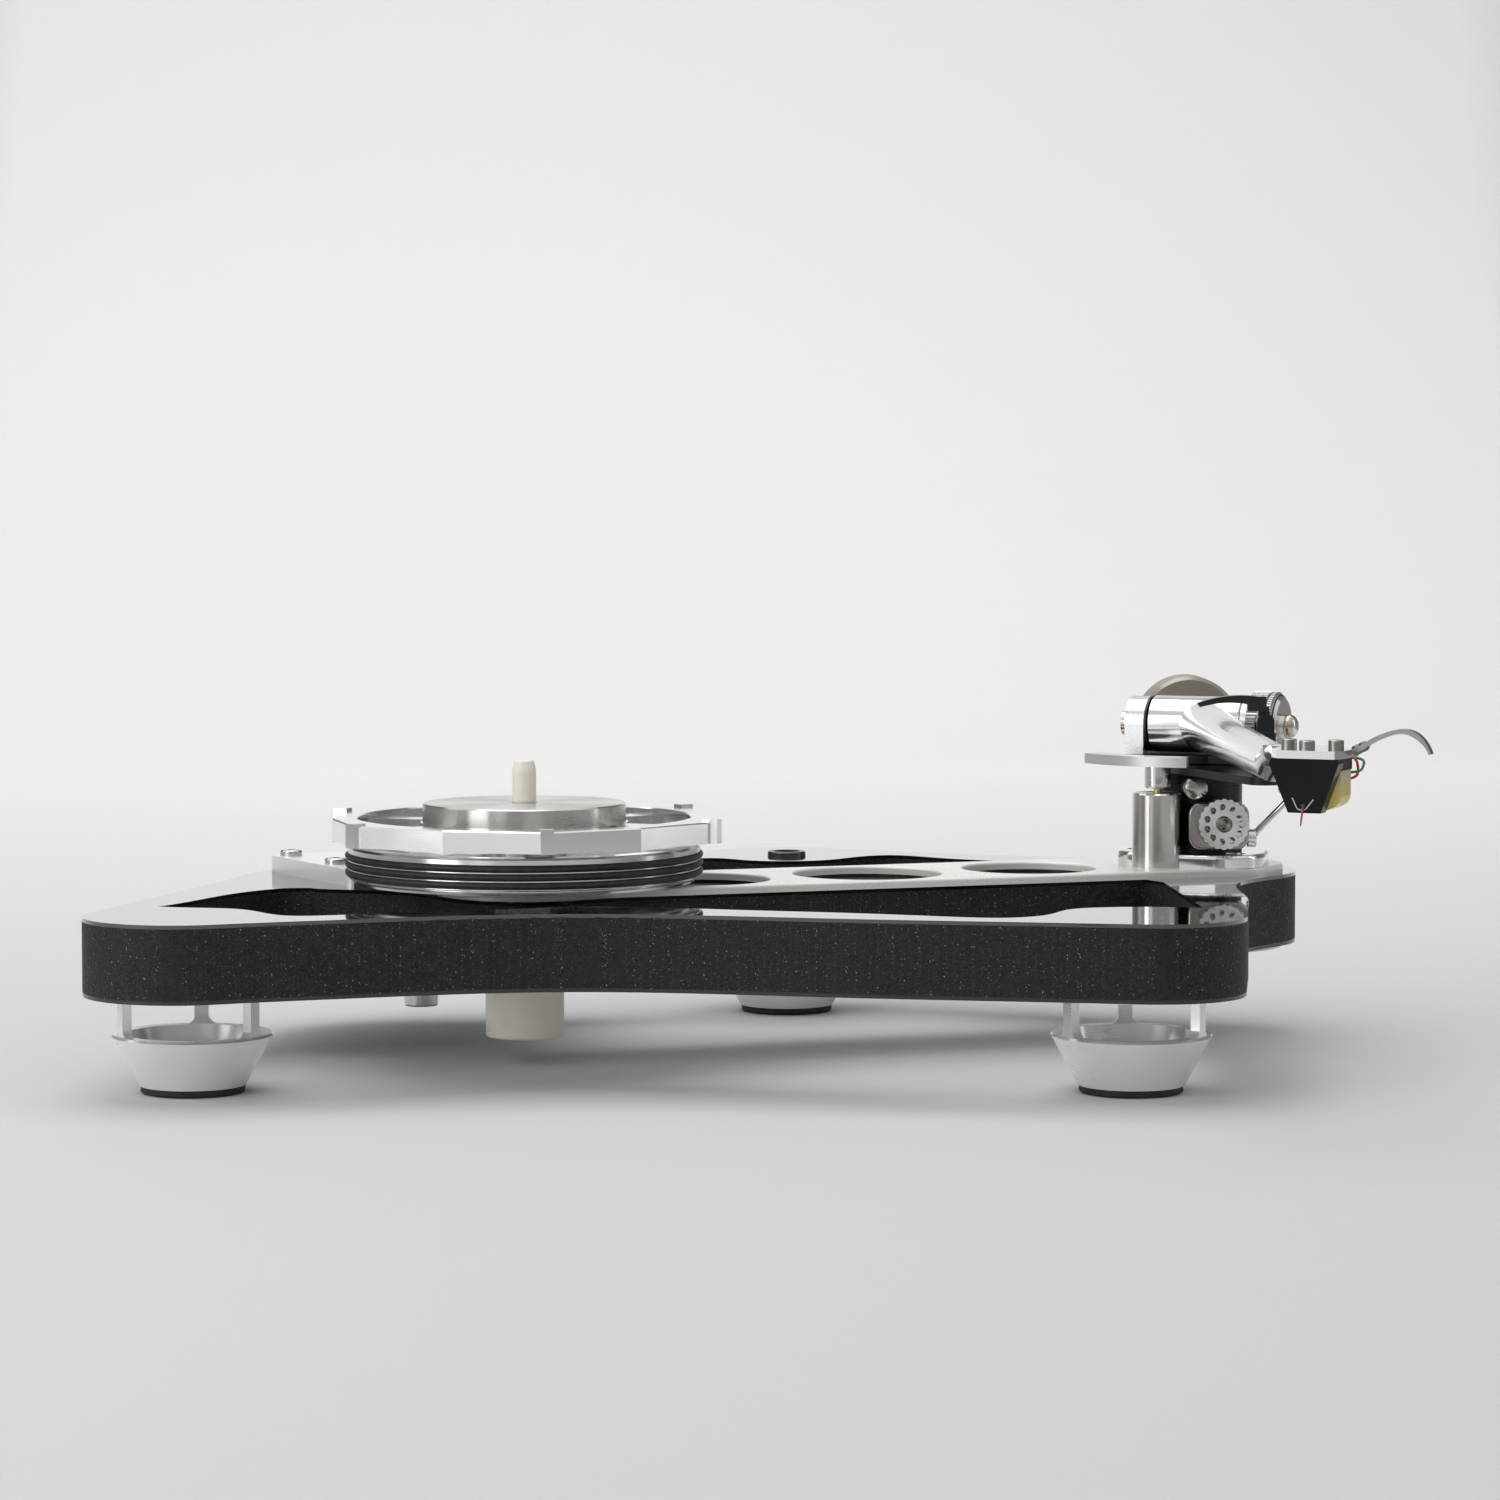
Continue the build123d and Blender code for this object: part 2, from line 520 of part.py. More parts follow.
MOTOR_SCREWS = [(33.0, -9.5), (33.0, 24.0), (-33.0, 24.0), (-33.0, -9.5)]   # across and along the plate
motor_screw_plane = Plane(origin=(MOTOR_X, MOTOR_Y, MOTOR_PLATE_TOP), x_dir=(*motor_side, 0), z_dir=(0, 0, 1))
with BuildPart() as motor_screws:
    with BuildSketch(motor_screw_plane):
        with Locations(*[(across, -along) for across, along in MOTOR_SCREWS]):
            Circle(3.4)
    extrude(amount=1.9)
    fillet(motor_screws.edges().group_by(Axis.Z)[-1], 0.7)
    with BuildSketch(motor_screw_plane.offset(1.9)):
        with Locations(*[(across, -along) for across, along in MOTOR_SCREWS]):
            RegularPolygon(1.4, 6)
    extrude(amount=-1.1, mode=Mode.SUBTRACT)
motor_screws.part.label = "motor_screws"
export_step(motor_screws.part, "parts/motor_screws.step")

with BuildPart() as motor_shaft:
    with BuildSketch(Plane.XY.offset(PLINTH_TOP - 11)):
        with Locations((MOTOR_X, MOTOR_Y)):
            Circle(2.0)
    extrude(amount=64.6 - PLINTH_TOP + 11)
motor_shaft.part.label = "motor_shaft"
export_step(motor_shaft.part, "parts/motor_shaft.step")

with BuildPart() as pulley:
    with BuildSketch(Plane(origin=(MOTOR_X, MOTOR_Y, 0), x_dir=(1, 0, 0), z_dir=(0, -1, 0))):
        with BuildLine():
            Polyline((2.0, 56.3), (9.2, 56.3), (9.4, 56.5), (9.4, 63.4), (9.2, 63.6), (5.5, 63.6), (5.5, 65.2),
                     (2.0, 65.2), close=True)
        make_face()
        with Locations(*[(PULLEY_BELT_R, z) for z in BELT_Z]):
            Circle(BELT_R + 0.1, mode=Mode.SUBTRACT)
    revolve(axis=Axis((MOTOR_X, MOTOR_Y, 0), (0, 0, 1)))
pulley.part.label = "pulley"
export_step(pulley.part, "parts/pulley.step")

# each belt is two arcs joined by two straight runs, tangent at both ends
hub_to_motor = sqrt(36.0 ** 2 + 62.0 ** 2)
wrap = degrees(acos((RIM_BELT_R - PULLEY_BELT_R) / hub_to_motor))
first = MOTOR_BEARING + wrap
last = MOTOR_BEARING - wrap
with BuildPart() as belts:
    for belt_z in BELT_Z:
        with BuildLine():
            rim_a = Vector(*on_circle(HUB_X, HUB_Y, RIM_BELT_R, first), belt_z)
            rim_far = Vector(*on_circle(HUB_X, HUB_Y, RIM_BELT_R, MOTOR_BEARING + 180), belt_z)
            rim_b = Vector(*on_circle(HUB_X, HUB_Y, RIM_BELT_R, last), belt_z)
            pulley_b = Vector(*on_circle(MOTOR_X, MOTOR_Y, PULLEY_BELT_R, last), belt_z)
            pulley_far = Vector(*on_circle(MOTOR_X, MOTOR_Y, PULLEY_BELT_R, MOTOR_BEARING), belt_z)
            pulley_a = Vector(*on_circle(MOTOR_X, MOTOR_Y, PULLEY_BELT_R, first), belt_z)
            ThreePointArc(rim_a, rim_far, rim_b)
            Line(rim_b, pulley_b)
            ThreePointArc(pulley_b, pulley_far, pulley_a)
            Line(pulley_a, rim_a)
        with BuildSketch(Plane(origin=rim_a, z_dir=(-sin(radians(first)), cos(radians(first)), 0))):
            Circle(BELT_R)
        sweep()
belts.part.label = "belts"
export_step(belts.part, "parts/belts.step")

with BuildPart() as power_socket:
    with BuildSketch(SOCKET_PLANE):
        Circle(SOCKET_R)
    extrude(amount=4.6)
    fillet(power_socket.edges().group_by(Axis.Y)[-1], 0.5)
    with BuildSketch(SOCKET_PLANE.offset(4.6)):
        Circle(4.6)
    extrude(amount=-3.6, mode=Mode.SUBTRACT)
    with BuildSketch(SOCKET_PLANE.offset(1.0)):
        with PolarLocations(2.4, 4):
            Circle(0.5)
    extrude(amount=2.6)
power_socket.part.label = "power_socket"
export_step(power_socket.part, "parts/power_socket.step")

# ---- tonearm mount: everything here stays with the plinth ----
BASE_TOP = 57.3
BRACKET_TOP = 84.4
BRACKET_BOTTOM = 82.0
PILLAR_RADIUS = 13.2
LIFT_R = 7.8
LIFT_TOP = 76.2

with BuildPart() as arm_base:
    with BuildSketch(Plane.XY.offset(BRACE_TOP)):
        with Locations((PIVOT_X, PIVOT_Y)):
            Circle(21.5)
        for angle in (178, 298, 58):
            with Locations(on_circle(PIVOT_X, PIVOT_Y, 12.8, angle)):
                Circle(13.2)
        make_hull()
    extrude(amount=BASE_TOP - BRACE_TOP)
    fillet(arm_base.edges().group_by(Axis.Z)[-1], 1.3)
    with BuildSketch(Plane.XY.offset(BRACE_TOP)):
        with Locations((LIFT_X, LIFT_Y)):
            Circle(LIFT_R + 0.1)
        with Locations((PIVOT_X, PIVOT_Y)):
            Circle(ARM_BOSS_R)
    extrude(amount=BASE_TOP - BRACE_TOP, mode=Mode.SUBTRACT)
    with BuildSketch(Plane.XY.offset(BASE_TOP)):
        for angle in (178, 298, 58):
            with Locations(on_circle(PIVOT_X, PIVOT_Y, 19.5, angle)):
                Circle(3.3)
    extrude(amount=-2.4, mode=Mode.SUBTRACT)
arm_base.part.label = "arm_base"
export_step(arm_base.part, "parts/arm_base.step")

with BuildPart() as arm_base_screws:
    with BuildSketch(Plane.XY.offset(BASE_TOP - 2.4)):
        for angle in (178, 298, 58):
            with Locations(on_circle(PIVOT_X, PIVOT_Y, 19.5, angle)):
                Circle(2.9)
    extrude(amount=2.0)
    with BuildSketch(Plane.XY.offset(BASE_TOP - 0.4)):
        for angle in (178, 298, 58):
            with Locations(on_circle(PIVOT_X, PIVOT_Y, 19.5, angle)):
                RegularPolygon(1.4, 6)
    extrude(amount=-1.2, mode=Mode.SUBTRACT)
arm_base_screws.part.label = "arm_base_screws"
export_step(arm_base_screws.part, "parts/arm_base_screws.step")

with BuildPart() as arm_pillar:
    with BuildSketch(Plane.XY.offset(BASE_TOP)):
        with Locations((PIVOT_X, PIVOT_Y)):
            Circle(PILLAR_RADIUS)
    extrude(amount=BRACKET_BOTTOM - BASE_TOP)
    with BuildSketch(Plane.XY.offset(BASE_TOP)):
        with Locations((PIVOT_X, PIVOT_Y)):
            Circle(ARM_BOSS_R)
    extrude(amount=-(BASE_TOP - PLINTH_BOTTOM + LOWER_BRACE))
    with BuildSketch(Plane.XY.offset(PLINTH_BOTTOM - LOWER_BRACE)):
        with Locations((PIVOT_X, PIVOT_Y)):
            Circle(6.5)
    extrude(amount=BRACKET_BOTTOM - PLINTH_BOTTOM + LOWER_BRACE, mode=Mode.SUBTRACT)
arm_pillar.part.label = "arm_pillar"
export_step(arm_pillar.part, "parts/arm_pillar.step")

with BuildPart() as arm_mount_nut:
    with BuildSketch(Plane.XY.offset(PLINTH_BOTTOM - LOWER_BRACE)):
        with Locations((PIVOT_X, PIVOT_Y)):
            RegularPolygon(15.5, 6)
            Circle(6.5, mode=Mode.SUBTRACT)
    extrude(amount=-4.5)
arm_mount_nut.part.label = "arm_mount_nut"
export_step(arm_mount_nut.part, "parts/arm_mount_nut.step")

with BuildPart() as lead_gland:
    gland_floor = PLINTH_BOTTOM - LOWER_BRACE - 4.5
    with BuildSketch(Plane.XY.offset(gland_floor)):
        with Locations((PIVOT_X, PIVOT_Y)):
            Circle(7.5)
    extrude(amount=-7.0, taper=6)
    with BuildSketch(Plane.XY.offset(gland_floor)):
        with Locations((PIVOT_X, PIVOT_Y)):
            Circle(3.2)
    extrude(amount=-7.0, mode=Mode.SUBTRACT)
lead_gland.part.label = "lead_gland"
export_step(lead_gland.part, "parts/lead_gland.step")

BEARING_R = 6.45
with BuildPart() as arm_bearings:
    for race_z in (62.0, 76.0):
        with BuildSketch(Plane.XY.offset(race_z)):
            with Locations((PIVOT_X, PIVOT_Y)):
                Circle(BEARING_R)
                Circle(3.0 + FIT, mode=Mode.SUBTRACT)
        extrude(amount=4.0)
arm_bearings.part.label = "arm_bearings"
export_step(arm_bearings.part, "parts/arm_bearings.step")

# the rest bracket is a thin plate over the pillar that reaches forward to the right of the arm
REST_X = PIVOT_X + 12.5
REST_Y = PIVOT_Y - 62.0
with BuildPart() as rest_bracket:
    with BuildSketch(Plane.XY.offset(BRACKET_BOTTOM)):
        with Locations((PIVOT_X, PIVOT_Y)):
            Circle(PILLAR_RADIUS)
        with Locations((REST_X, REST_Y)):
            Circle(5.0)
        make_hull()
        with Locations((PIVOT_X, PIVOT_Y)):
            Circle(4.0, mode=Mode.SUBTRACT)
    extrude(amount=BRACKET_TOP - BRACKET_BOTTOM)
rest_bracket.part.label = "rest_bracket"
export_step(rest_bracket.part, "parts/rest_bracket.step")

CLIP_PIN_Z = 101.0
with BuildPart() as rest_post:
    with BuildSketch(Plane.XY.offset(BRACKET_TOP)):
        with Locations((REST_X, REST_Y)):
            RectangleRounded(6.4, 8.0, 1.2)
    extrude(amount=CLIP_PIN_Z - 3.4 - BRACKET_TOP)
    # two ears hold the clip's pin
    with BuildSketch(Plane(origin=(REST_X, REST_Y, 0), x_dir=(1, 0, 0), z_dir=(0, -1, 0))):
        with Locations((0, CLIP_PIN_Z - 2.7)):
            Rectangle(5.2, 5.4)
        with Locations((0, CLIP_PIN_Z)):
            Circle(2.6)
    extrude(amount=4.0, both=True)
    with BuildSketch(Plane(origin=(REST_X, REST_Y, 0), x_dir=(1, 0, 0), z_dir=(0, -1, 0))):
        with Locations((0, CLIP_PIN_Z + 0.3)):
            Rectangle(8.0, 7.4)
    extrude(amount=2.2, both=True, mode=Mode.SUBTRACT)
    with BuildSketch(Plane(origin=(REST_X, REST_Y, 0), x_dir=(1, 0, 0), z_dir=(0, -1, 0))):
        with Locations((0, CLIP_PIN_Z)):
            Circle(1.0)
    extrude(amount=4.3, both=True)
rest_post.part.label = "rest_post"
export_step(rest_post.part, "parts/rest_post.step")

with BuildPart() as rest_clip:
    with BuildSketch(Plane(origin=(REST_X, REST_Y, 0), x_dir=(1, 0, 0), z_dir=(0, -1, 0))):
        with Locations((0, CLIP_PIN_Z)):
            Circle(2.5)
        with Locations((-2.4, 106.3)):
            Rectangle(5.6, 4.4)
        with Locations((-0.4, 103.6)):
            Rectangle(3.4, 3.8)
        with BuildLine():
            ThreePointArc((-2.0, 105.4), (-11.5, 106.6), (-19.5, 105.3))
            Line((-19.5, 105.3), (-20.3, 106.5))
            ThreePointArc((-20.3, 106.5), (-11.5, 108.6), (-2.0, 108.5))
            Line((-2.0, 108.5), (-2.0, 105.4))
        make_face()
        with Locations((0, CLIP_PIN_Z)):
            Circle(1.0 + FIT, mode=Mode.SUBTRACT)
    extrude(amount=1.9, both=True)
rest_clip.part.label = "rest_clip"
export_step(rest_clip.part, "parts/rest_clip.step")

# ---- cueing lift ----
with BuildPart() as lift_cylinder:
    with BuildSketch(Plane.XY.offset(BRACE_TOP)):
        with Locations((LIFT_X, LIFT_Y)):
            Circle(LIFT_R)
    extrude(amount=LIFT_TOP - BRACE_TOP)
    chamfer(lift_cylinder.edges().group_by(Axis.Z)[-1], 0.5)
    with BuildSketch(Plane.XY.offset(LIFT_TOP)):
        with Locations((LIFT_X, LIFT_Y)):
            Circle(1.2 + FIT)
    extrude(amount=-18, mode=Mode.SUBTRACT)
lift_cylinder.part.label = "lift_cylinder"
export_step(lift_cylinder.part, "parts/lift_cylinder.step")

LIFT_HEAD_BOTTOM = 77.6
PLATFORM_BOTTOM = 85.5
PLATFORM_TOP = 88.6
with BuildPart() as lift_rod:
    with BuildSketch(Plane.XY.offset(LIFT_TOP - 16)):
        with Locations((LIFT_X, LIFT_Y)):
            Circle(1.2)
    extrude(amount=16 + LIFT_HEAD_BOTTOM - LIFT_TOP + 3)
lift_rod.part.label = "lift_rod"
export_step(lift_rod.part, "parts/lift_rod.step")

with BuildPart() as lift_head:
    with BuildSketch(Plane.XY.offset(LIFT_HEAD_BOTTOM)):
        with Locations((LIFT_X, LIFT_Y)):
            Circle(4.1)
    extrude(amount=PLATFORM_BOTTOM - LIFT_HEAD_BOTTOM)
    chamfer(lift_head.edges().group_by(Axis.Z)[0], 0.5)
    with BuildSketch(Plane.XY.offset(LIFT_HEAD_BOTTOM)):
        with Locations((LIFT_X, LIFT_Y)):
            Circle(1.2)
    extrude(amount=3.0, mode=Mode.SUBTRACT)
    with BuildSketch(Plane(origin=(LIFT_X, LIFT_Y, LIFT_HEAD_BOTTOM + 2.6), x_dir=(1, 0, 0), z_dir=(0, -1, 0))):
        Circle(1.1)
    extrude(amount=5.0, mode=Mode.SUBTRACT)
lift_head.part.label = "lift_head"
export_step(lift_head.part, "parts/lift_head.step")

with BuildPart() as lift_grub_screw:
    with BuildSketch(Plane(origin=(LIFT_X, LIFT_Y - 1.25, LIFT_HEAD_BOTTOM + 2.6), x_dir=(1, 0, 0),
                           z_dir=(0, -1, 0))):
        Circle(1.05)
    extrude(amount=2.4)
    with BuildSketch(Plane(origin=(LIFT_X, LIFT_Y - 3.65, LIFT_HEAD_BOTTOM + 2.6), x_dir=(1, 0, 0),
                           z_dir=(0, -1, 0))):
        RegularPolygon(0.5, 6)
    extrude(amount=-1.2, mode=Mode.SUBTRACT)
lift_grub_screw.part.label = "lift_grub_screw"
export_step(lift_grub_screw.part, "parts/lift_grub_screw.step")

with BuildPart() as lift_platform:
    # a crescent about the arm pivot, with a tab that sits on the lift head
    with BuildSketch(Plane.XY.offset(PLATFORM_BOTTOM)):
        with BuildLine():
            outer = [on_circle(PIVOT_X, PIVOT_Y, 41.0, angle) for angle in (258, 230, 203)]
            inner = [on_circle(PIVOT_X, PIVOT_Y, 34.0, angle) for angle in (258, 230, 203)]
            ThreePointArc(*outer)
            Line(outer[2], inner[2])
            ThreePointArc(*inner)
            Line(inner[0], outer[0])
        make_face()
    extrude(amount=PLATFORM_TOP - PLATFORM_BOTTOM)
    with BuildSketch(Plane.XY.offset(PLATFORM_BOTTOM)):
        with Locations((LIFT_X, LIFT_Y)):
            Circle(4.6)
        with Locations(on_circle(PIVOT_X, PIVOT_Y, 28.5, 225)):
            Rectangle(14.0, 8.0, rotation=225)
    extrude(amount=1.5)
lift_platform.part.label = "lift_platform"
export_step(lift_platform.part, "parts/lift_platform.step")

# ---- cueing lever ----
CUE_X = PIVOT_X + 13.3
CUE_Y = PIVOT_Y - 15.0
CUE_Z = 62.0
with BuildPart() as cue_lever:
    with BuildSketch(Plane(origin=(CUE_X, CUE_Y, CUE_Z), x_dir=(0, 1, 0), z_dir=(1, 0, 0))):
        Circle(2.9)
    extrude(amount=2.6)
    fillet(cue_lever.edges().group_by(Axis.X)[-1], 0.7)
    with BuildSketch(Plane(origin=(CUE_X, CUE_Y, CUE_Z), x_dir=(0, 1, 0), z_dir=(1, 0, 0))):
        Circle(1.5)
    extrude(amount=-6.0)
    with BuildLine():
        rod_start = Vector(CUE_X + 1.3, CUE_Y, CUE_Z)
        rod_bend = Vector(CUE_X + 3.5, CUE_Y - 1.0, CUE_Z + 3.0)
        rod_end = Vector(CUE_X + 18.0, CUE_Y - 8.0, CUE_Z + 19.0)
        Polyline(rod_start, rod_bend, rod_end)
    with BuildSketch(Plane(origin=rod_start, z_dir=rod_bend - rod_start)):
        Circle(0.95)
    sweep(transition=Transition.ROUND)
    with BuildSketch(Plane(origin=rod_end, z_dir=rod_end - rod_bend)):
        Circle(1.35)
    extrude(amount=-3.5)
cue_lever.part.label = "cue_lever"
export_step(cue_lever.part, "parts/cue_lever.step")

# ---- bias force housing and knob ----
BIAS_Z = 67.2
BIAS_FRONT = PIVOT_Y - 22.0
with BuildPart() as bias_housing:
    with BuildSketch(Plane(origin=(PIVOT_X, BIAS_FRONT, 0), x_dir=(1, 0, 0), z_dir=(0, -1, 0))):
        with Locations((3.6, 66.2)):
            RectangleRounded(18.8, 14.8, 4.0)
    extrude(amount=-14.0)
    fillet(bias_housing.edges().group_by(Axis.Y)[0], 0.8)
    with BuildSketch(Plane.XY.offset(50)):
        with Locations((PIVOT_X, PIVOT_Y)):
            Circle(PILLAR_RADIUS)
    extrude(amount=40, mode=Mode.SUBTRACT)
    with BuildSketch(Plane(origin=(CUE_X, CUE_Y, CUE_Z), x_dir=(0, 1, 0), z_dir=(1, 0, 0))):
        Circle(1.5 + FIT)
    extrude(amount=-6.5, mode=Mode.SUBTRACT)
    with BuildSketch(Plane(origin=(BIAS_X, BIAS_FRONT, BIAS_Z), x_dir=(1, 0, 0), z_dir=(0, -1, 0))):
        Circle(2.0 + FIT)
    extrude(amount=-6.5, mode=Mode.SUBTRACT)
bias_housing.part.label = "bias_housing"
export_step(bias_housing.part, "parts/bias_housing.step")

with BuildPart() as bias_knob:
    bias_plane = Plane(origin=(BIAS_X, BIAS_FRONT - 0.3, BIAS_Z), x_dir=(1, 0, 0), z_dir=(0, -1, 0))
    with BuildSketch(bias_plane):
        Circle(7.9)
        with PolarLocations(8.5, 22):
            Circle(0.95, mode=Mode.SUBTRACT)
    extrude(amount=5.0)
    with BuildSketch(bias_plane.offset(5.0)):
        with PolarLocations(5.5, 11):
            Circle(1.1)
        Circle(2.6)
    extrude(amount=-1.5, mode=Mode.SUBTRACT)
    with BuildSketch(bias_plane):
        Circle(2.0)
    extrude(amount=-6.0)
bias_knob.part.label = "bias_knob"
export_step(bias_knob.part, "parts/bias_knob.step")

with BuildPart() as cue_damper:
    with BuildSketch(Plane(origin=(PIVOT_X - 3.6, PIVOT_Y - 21.0, 78.0), x_dir=(1, 0, 0), z_dir=(0, -1, 0))):
        Circle(3.7)
    extrude(amount=-12.0)
    fillet(cue_damper.edges().group_by(Axis.Y)[0], 0.8)
    with BuildSketch(Plane.XY.offset(70)):
        with Locations((PIVOT_X, PIVOT_Y)):
            Circle(PILLAR_RADIUS)
    extrude(amount=20, mode=Mode.SUBTRACT)
cue_damper.part.label = "cue_damper"
export_step(cue_damper.part, "parts/cue_damper.step")

# ---- arm carrier: turns about the pillar and holds the tilt bearings ----
YOKE_BOTTOM = 84.8
YOKE_TOP = 87.2
CHEEK_R = 8.6
with BuildPart() as yoke_base:
    with BuildSketch(Plane.XY.offset(60.0)):
        with Locations((PIVOT_X, PIVOT_Y)):
            Circle(3.0)
    extrude(amount=YOKE_BOTTOM - 60.0)
    with BuildSketch(Plane.XY.offset(YOKE_BOTTOM)):
        with Locations((PIVOT_X, PIVOT_Y)):
            Circle(9.5)
        with Locations(yawed(-2.4, 0)):
            Rectangle(39.8, 16.0, rotation=-YAW)
    extrude(amount=YOKE_TOP - YOKE_BOTTOM)
yoke_base.part.label = "yoke_base"
export_step(yoke_base.part, "parts/yoke_base.step")

CHEEKS = [(-22.3, 6.2), (15.2, 2.3)]     # where each cheek starts along the tilt axis, and its width
with BuildPart() as yoke_cheeks:
    for cheek_start, cheek_width in CHEEKS:
        with BuildSketch(tilt_plane(cheek_start)):
            Circle(CHEEK_R)
            with Locations((0, (YOKE_TOP - ARM_Z) / 2)):
                Rectangle(2 * CHEEK_R, ARM_Z - YOKE_TOP)
            Circle(2.0, mode=Mode.SUBTRACT)
        extrude(amount=cheek_width)
yoke_cheeks.part.label = "yoke_cheeks"
export_step(yoke_cheeks.part, "parts/yoke_cheeks.step")

with BuildPart() as cheek_shim:
    with BuildSketch(tilt_plane(-16.0)):
        Circle(8.8)
        Circle(2.0, mode=Mode.SUBTRACT)
    extrude(amount=0.7)
cheek_shim.part.label = "cheek_shim"
export_step(cheek_shim.part, "parts/cheek_shim.step")

with BuildPart() as tilt_pins:
    with BuildSketch(tilt_plane(-22.3)):
        Circle(2.0)
    extrude(amount=11.0)
    with BuildSketch(tilt_plane(21.0)):
        Circle(2.0)
    extrude(amount=-9.7)
tilt_pins.part.label = "tilt_pins"
export_step(tilt_pins.part, "parts/tilt_pins.step")

with BuildPart() as side_nut:
    with BuildSketch(tilt_plane(-22.3)):
        Circle(3.9)
        with PolarLocations(4.15, 24):
            Circle(0.35, mode=Mode.SUBTRACT)
    extrude(amount=-3.0)
side_nut.part.label = "side_nut"
export_step(side_nut.part, "parts/side_nut.step")

# ---- tracking force dial ----
DIAL_R = 10.8
with BuildPart() as force_dial:
    with BuildSketch(tilt_plane(17.8)):
        Circle(DIAL_R)
        with PolarLocations(DIAL_R + 0.25, 60):
            Circle(0.45, mode=Mode.SUBTRACT)
    extrude(amount=5.6)
    with BuildSketch(tilt_plane(23.4)):
        Circle(DIAL_R - 0.7)
    extrude(amount=0.7)
    with BuildSketch(tilt_plane(24.1)):
        Circle(DIAL_R - 0.1)
    extrude(amount=1.3)
    with BuildSketch(tilt_plane(25.4)):
        Circle(DIAL_R - 0.5)
    extrude(amount=1.8, taper=42)
    with BuildSketch(tilt_plane(27.2)):
        Circle(3.6)
    extrude(amount=4.4)
    fillet(force_dial.edges().filter_by(GeomType.CIRCLE).sort_by(Axis.X)[-1], 2.6)
    with BuildSketch(tilt_plane(17.8)):
        Circle(2.0 + FIT)
    extrude(amount=4.0, mode=Mode.SUBTRACT)
force_dial.part.label = "force_dial"
export_step(force_dial.part, "parts/force_dial.step")

# ---- arm: barrel, tapering tube and headshell in one casting ----
BARREL_R = 8.9
BARREL_HALF = 14.9
PLATE_BOTTOM = 100.9
PLATE_TOP = 103.0
SCREW_CENTRE = (PIVOT_X + 4.9, HEAD_Y + 8.7)   # middle of the half-inch screw pair
HALF_INCH = 12.7
STUB_R = 5.0
NECK_START = PIVOT_Y - 186.0
NECK_END = PIVOT_Y - 214.0

with BuildPart() as arm_tube:
    with BuildSketch(tilt_plane(-BARREL_HALF)):
        Circle(BARREL_R)
    extrude(amount=2 * BARREL_HALF)
    chamfer(arm_tube.edges().filter_by(GeomType.CIRCLE), 0.4)
    with BuildSketch(Plane(origin=(PIVOT_X, PIVOT_Y, ARM_Z), x_dir=(0, 1, 0), z_dir=(1, 0, 0))):
        with BuildLine():
            Polyline((59, 0), (59, STUB_R - 0.5), (58.5, STUB_R), (27, STUB_R), (26, 6.4), (4, 6.8))
            Line((4, 6.8), (-12, 7.65))
            Spline((-12, 7.65), (-62, 6.62), (-120, 5.75), (-186, 5.2), tangents=((-1, -0.01), (-1, -0.008)))
            Polyline((-186, 5.2), (-186, 0), (59, 0))
        make_face()
    revolve(axis=Axis((PIVOT_X, PIVOT_Y, ARM_Z), (0, 1, 0)))
    # the neck flattens into the headshell plate
    with BuildSketch(Plane(origin=(PIVOT_X, NECK_START, ARM_Z), x_dir=(1, 0, 0), z_dir=(0, -1, 0))):
        Circle(5.2)
    with BuildSketch(Plane(origin=(PIVOT_X + 1.2, NECK_END, PLATE_TOP - 2.0), x_dir=(1, 0, 0), z_dir=(0, -1, 0))):
        RectangleRounded(14.4, 4.0, 1.9)
    loft()
    with BuildSketch(Plane.XY.offset(PLATE_BOTTOM)):
        with BuildLine():
            Polyline(yawed(-10.2, 3.0, SCREW_CENTRE), yawed(-7.0, 9.2, SCREW_CENTRE),
                     yawed(8.6, 9.2, SCREW_CENTRE), yawed(10.2, 6.5, SCREW_CENTRE),
                     yawed(10.2, -8.0, SCREW_CENTRE), (PIVOT_X + 8.2, NECK_END + 3.0),
                     (PIVOT_X - 6.0, NECK_END + 3.0), yawed(-10.2, -6.0, SCREW_CENTRE), close=True)
        make_face()
        with Locations(yawed(-HALF_INCH / 2, 0, SCREW_CENTRE), yawed(HALF_INCH / 2, 0, SCREW_CENTRE),
                       yawed(0, 5.0, SCREW_CENTRE)):
            Circle(1.25, mode=Mode.SUBTRACT)
    extrude(amount=PLATE_TOP - PLATE_BOTTOM)
    for end in (-1, 1):
        with BuildSketch(tilt_plane(end * BARREL_HALF)):
            Circle(2.0 + FIT)
        extrude(amount=-4.0 * end, mode=Mode.SUBTRACT)
arm_tube.part.label = "arm_tube"
export_step(arm_tube.part, "parts/arm_tube.step")

with BuildPart() as headshell_screws:
    screw_places = [yawed(-HALF_INCH / 2, 0, SCREW_CENTRE), yawed(HALF_INCH / 2, 0, SCREW_CENTRE),
                    yawed(0, 5.0, SCREW_CENTRE)]
    with BuildSketch(Plane.XY.offset(PLATE_TOP)):
        with Locations(*screw_places):
            Circle(2.05)
    extrude(amount=2.5)
    chamfer(headshell_screws.edges().group_by(Axis.Z)[-1], 0.25)
    with BuildSketch(Plane.XY.offset(PLATE_TOP + 2.5)):
        with Locations(*screw_places):
            RegularPolygon(1.1, 6)
    extrude(amount=-1.4, mode=Mode.SUBTRACT)
    with BuildSketch(Plane.XY.offset(PLATE_TOP)):
        with Locations(*screw_places):
            Circle(1.2)
    extrude(amount=-5.0)
headshell_screws.part.label = "headshell_screws"
export_step(headshell_screws.part, "parts/headshell_screws.step")


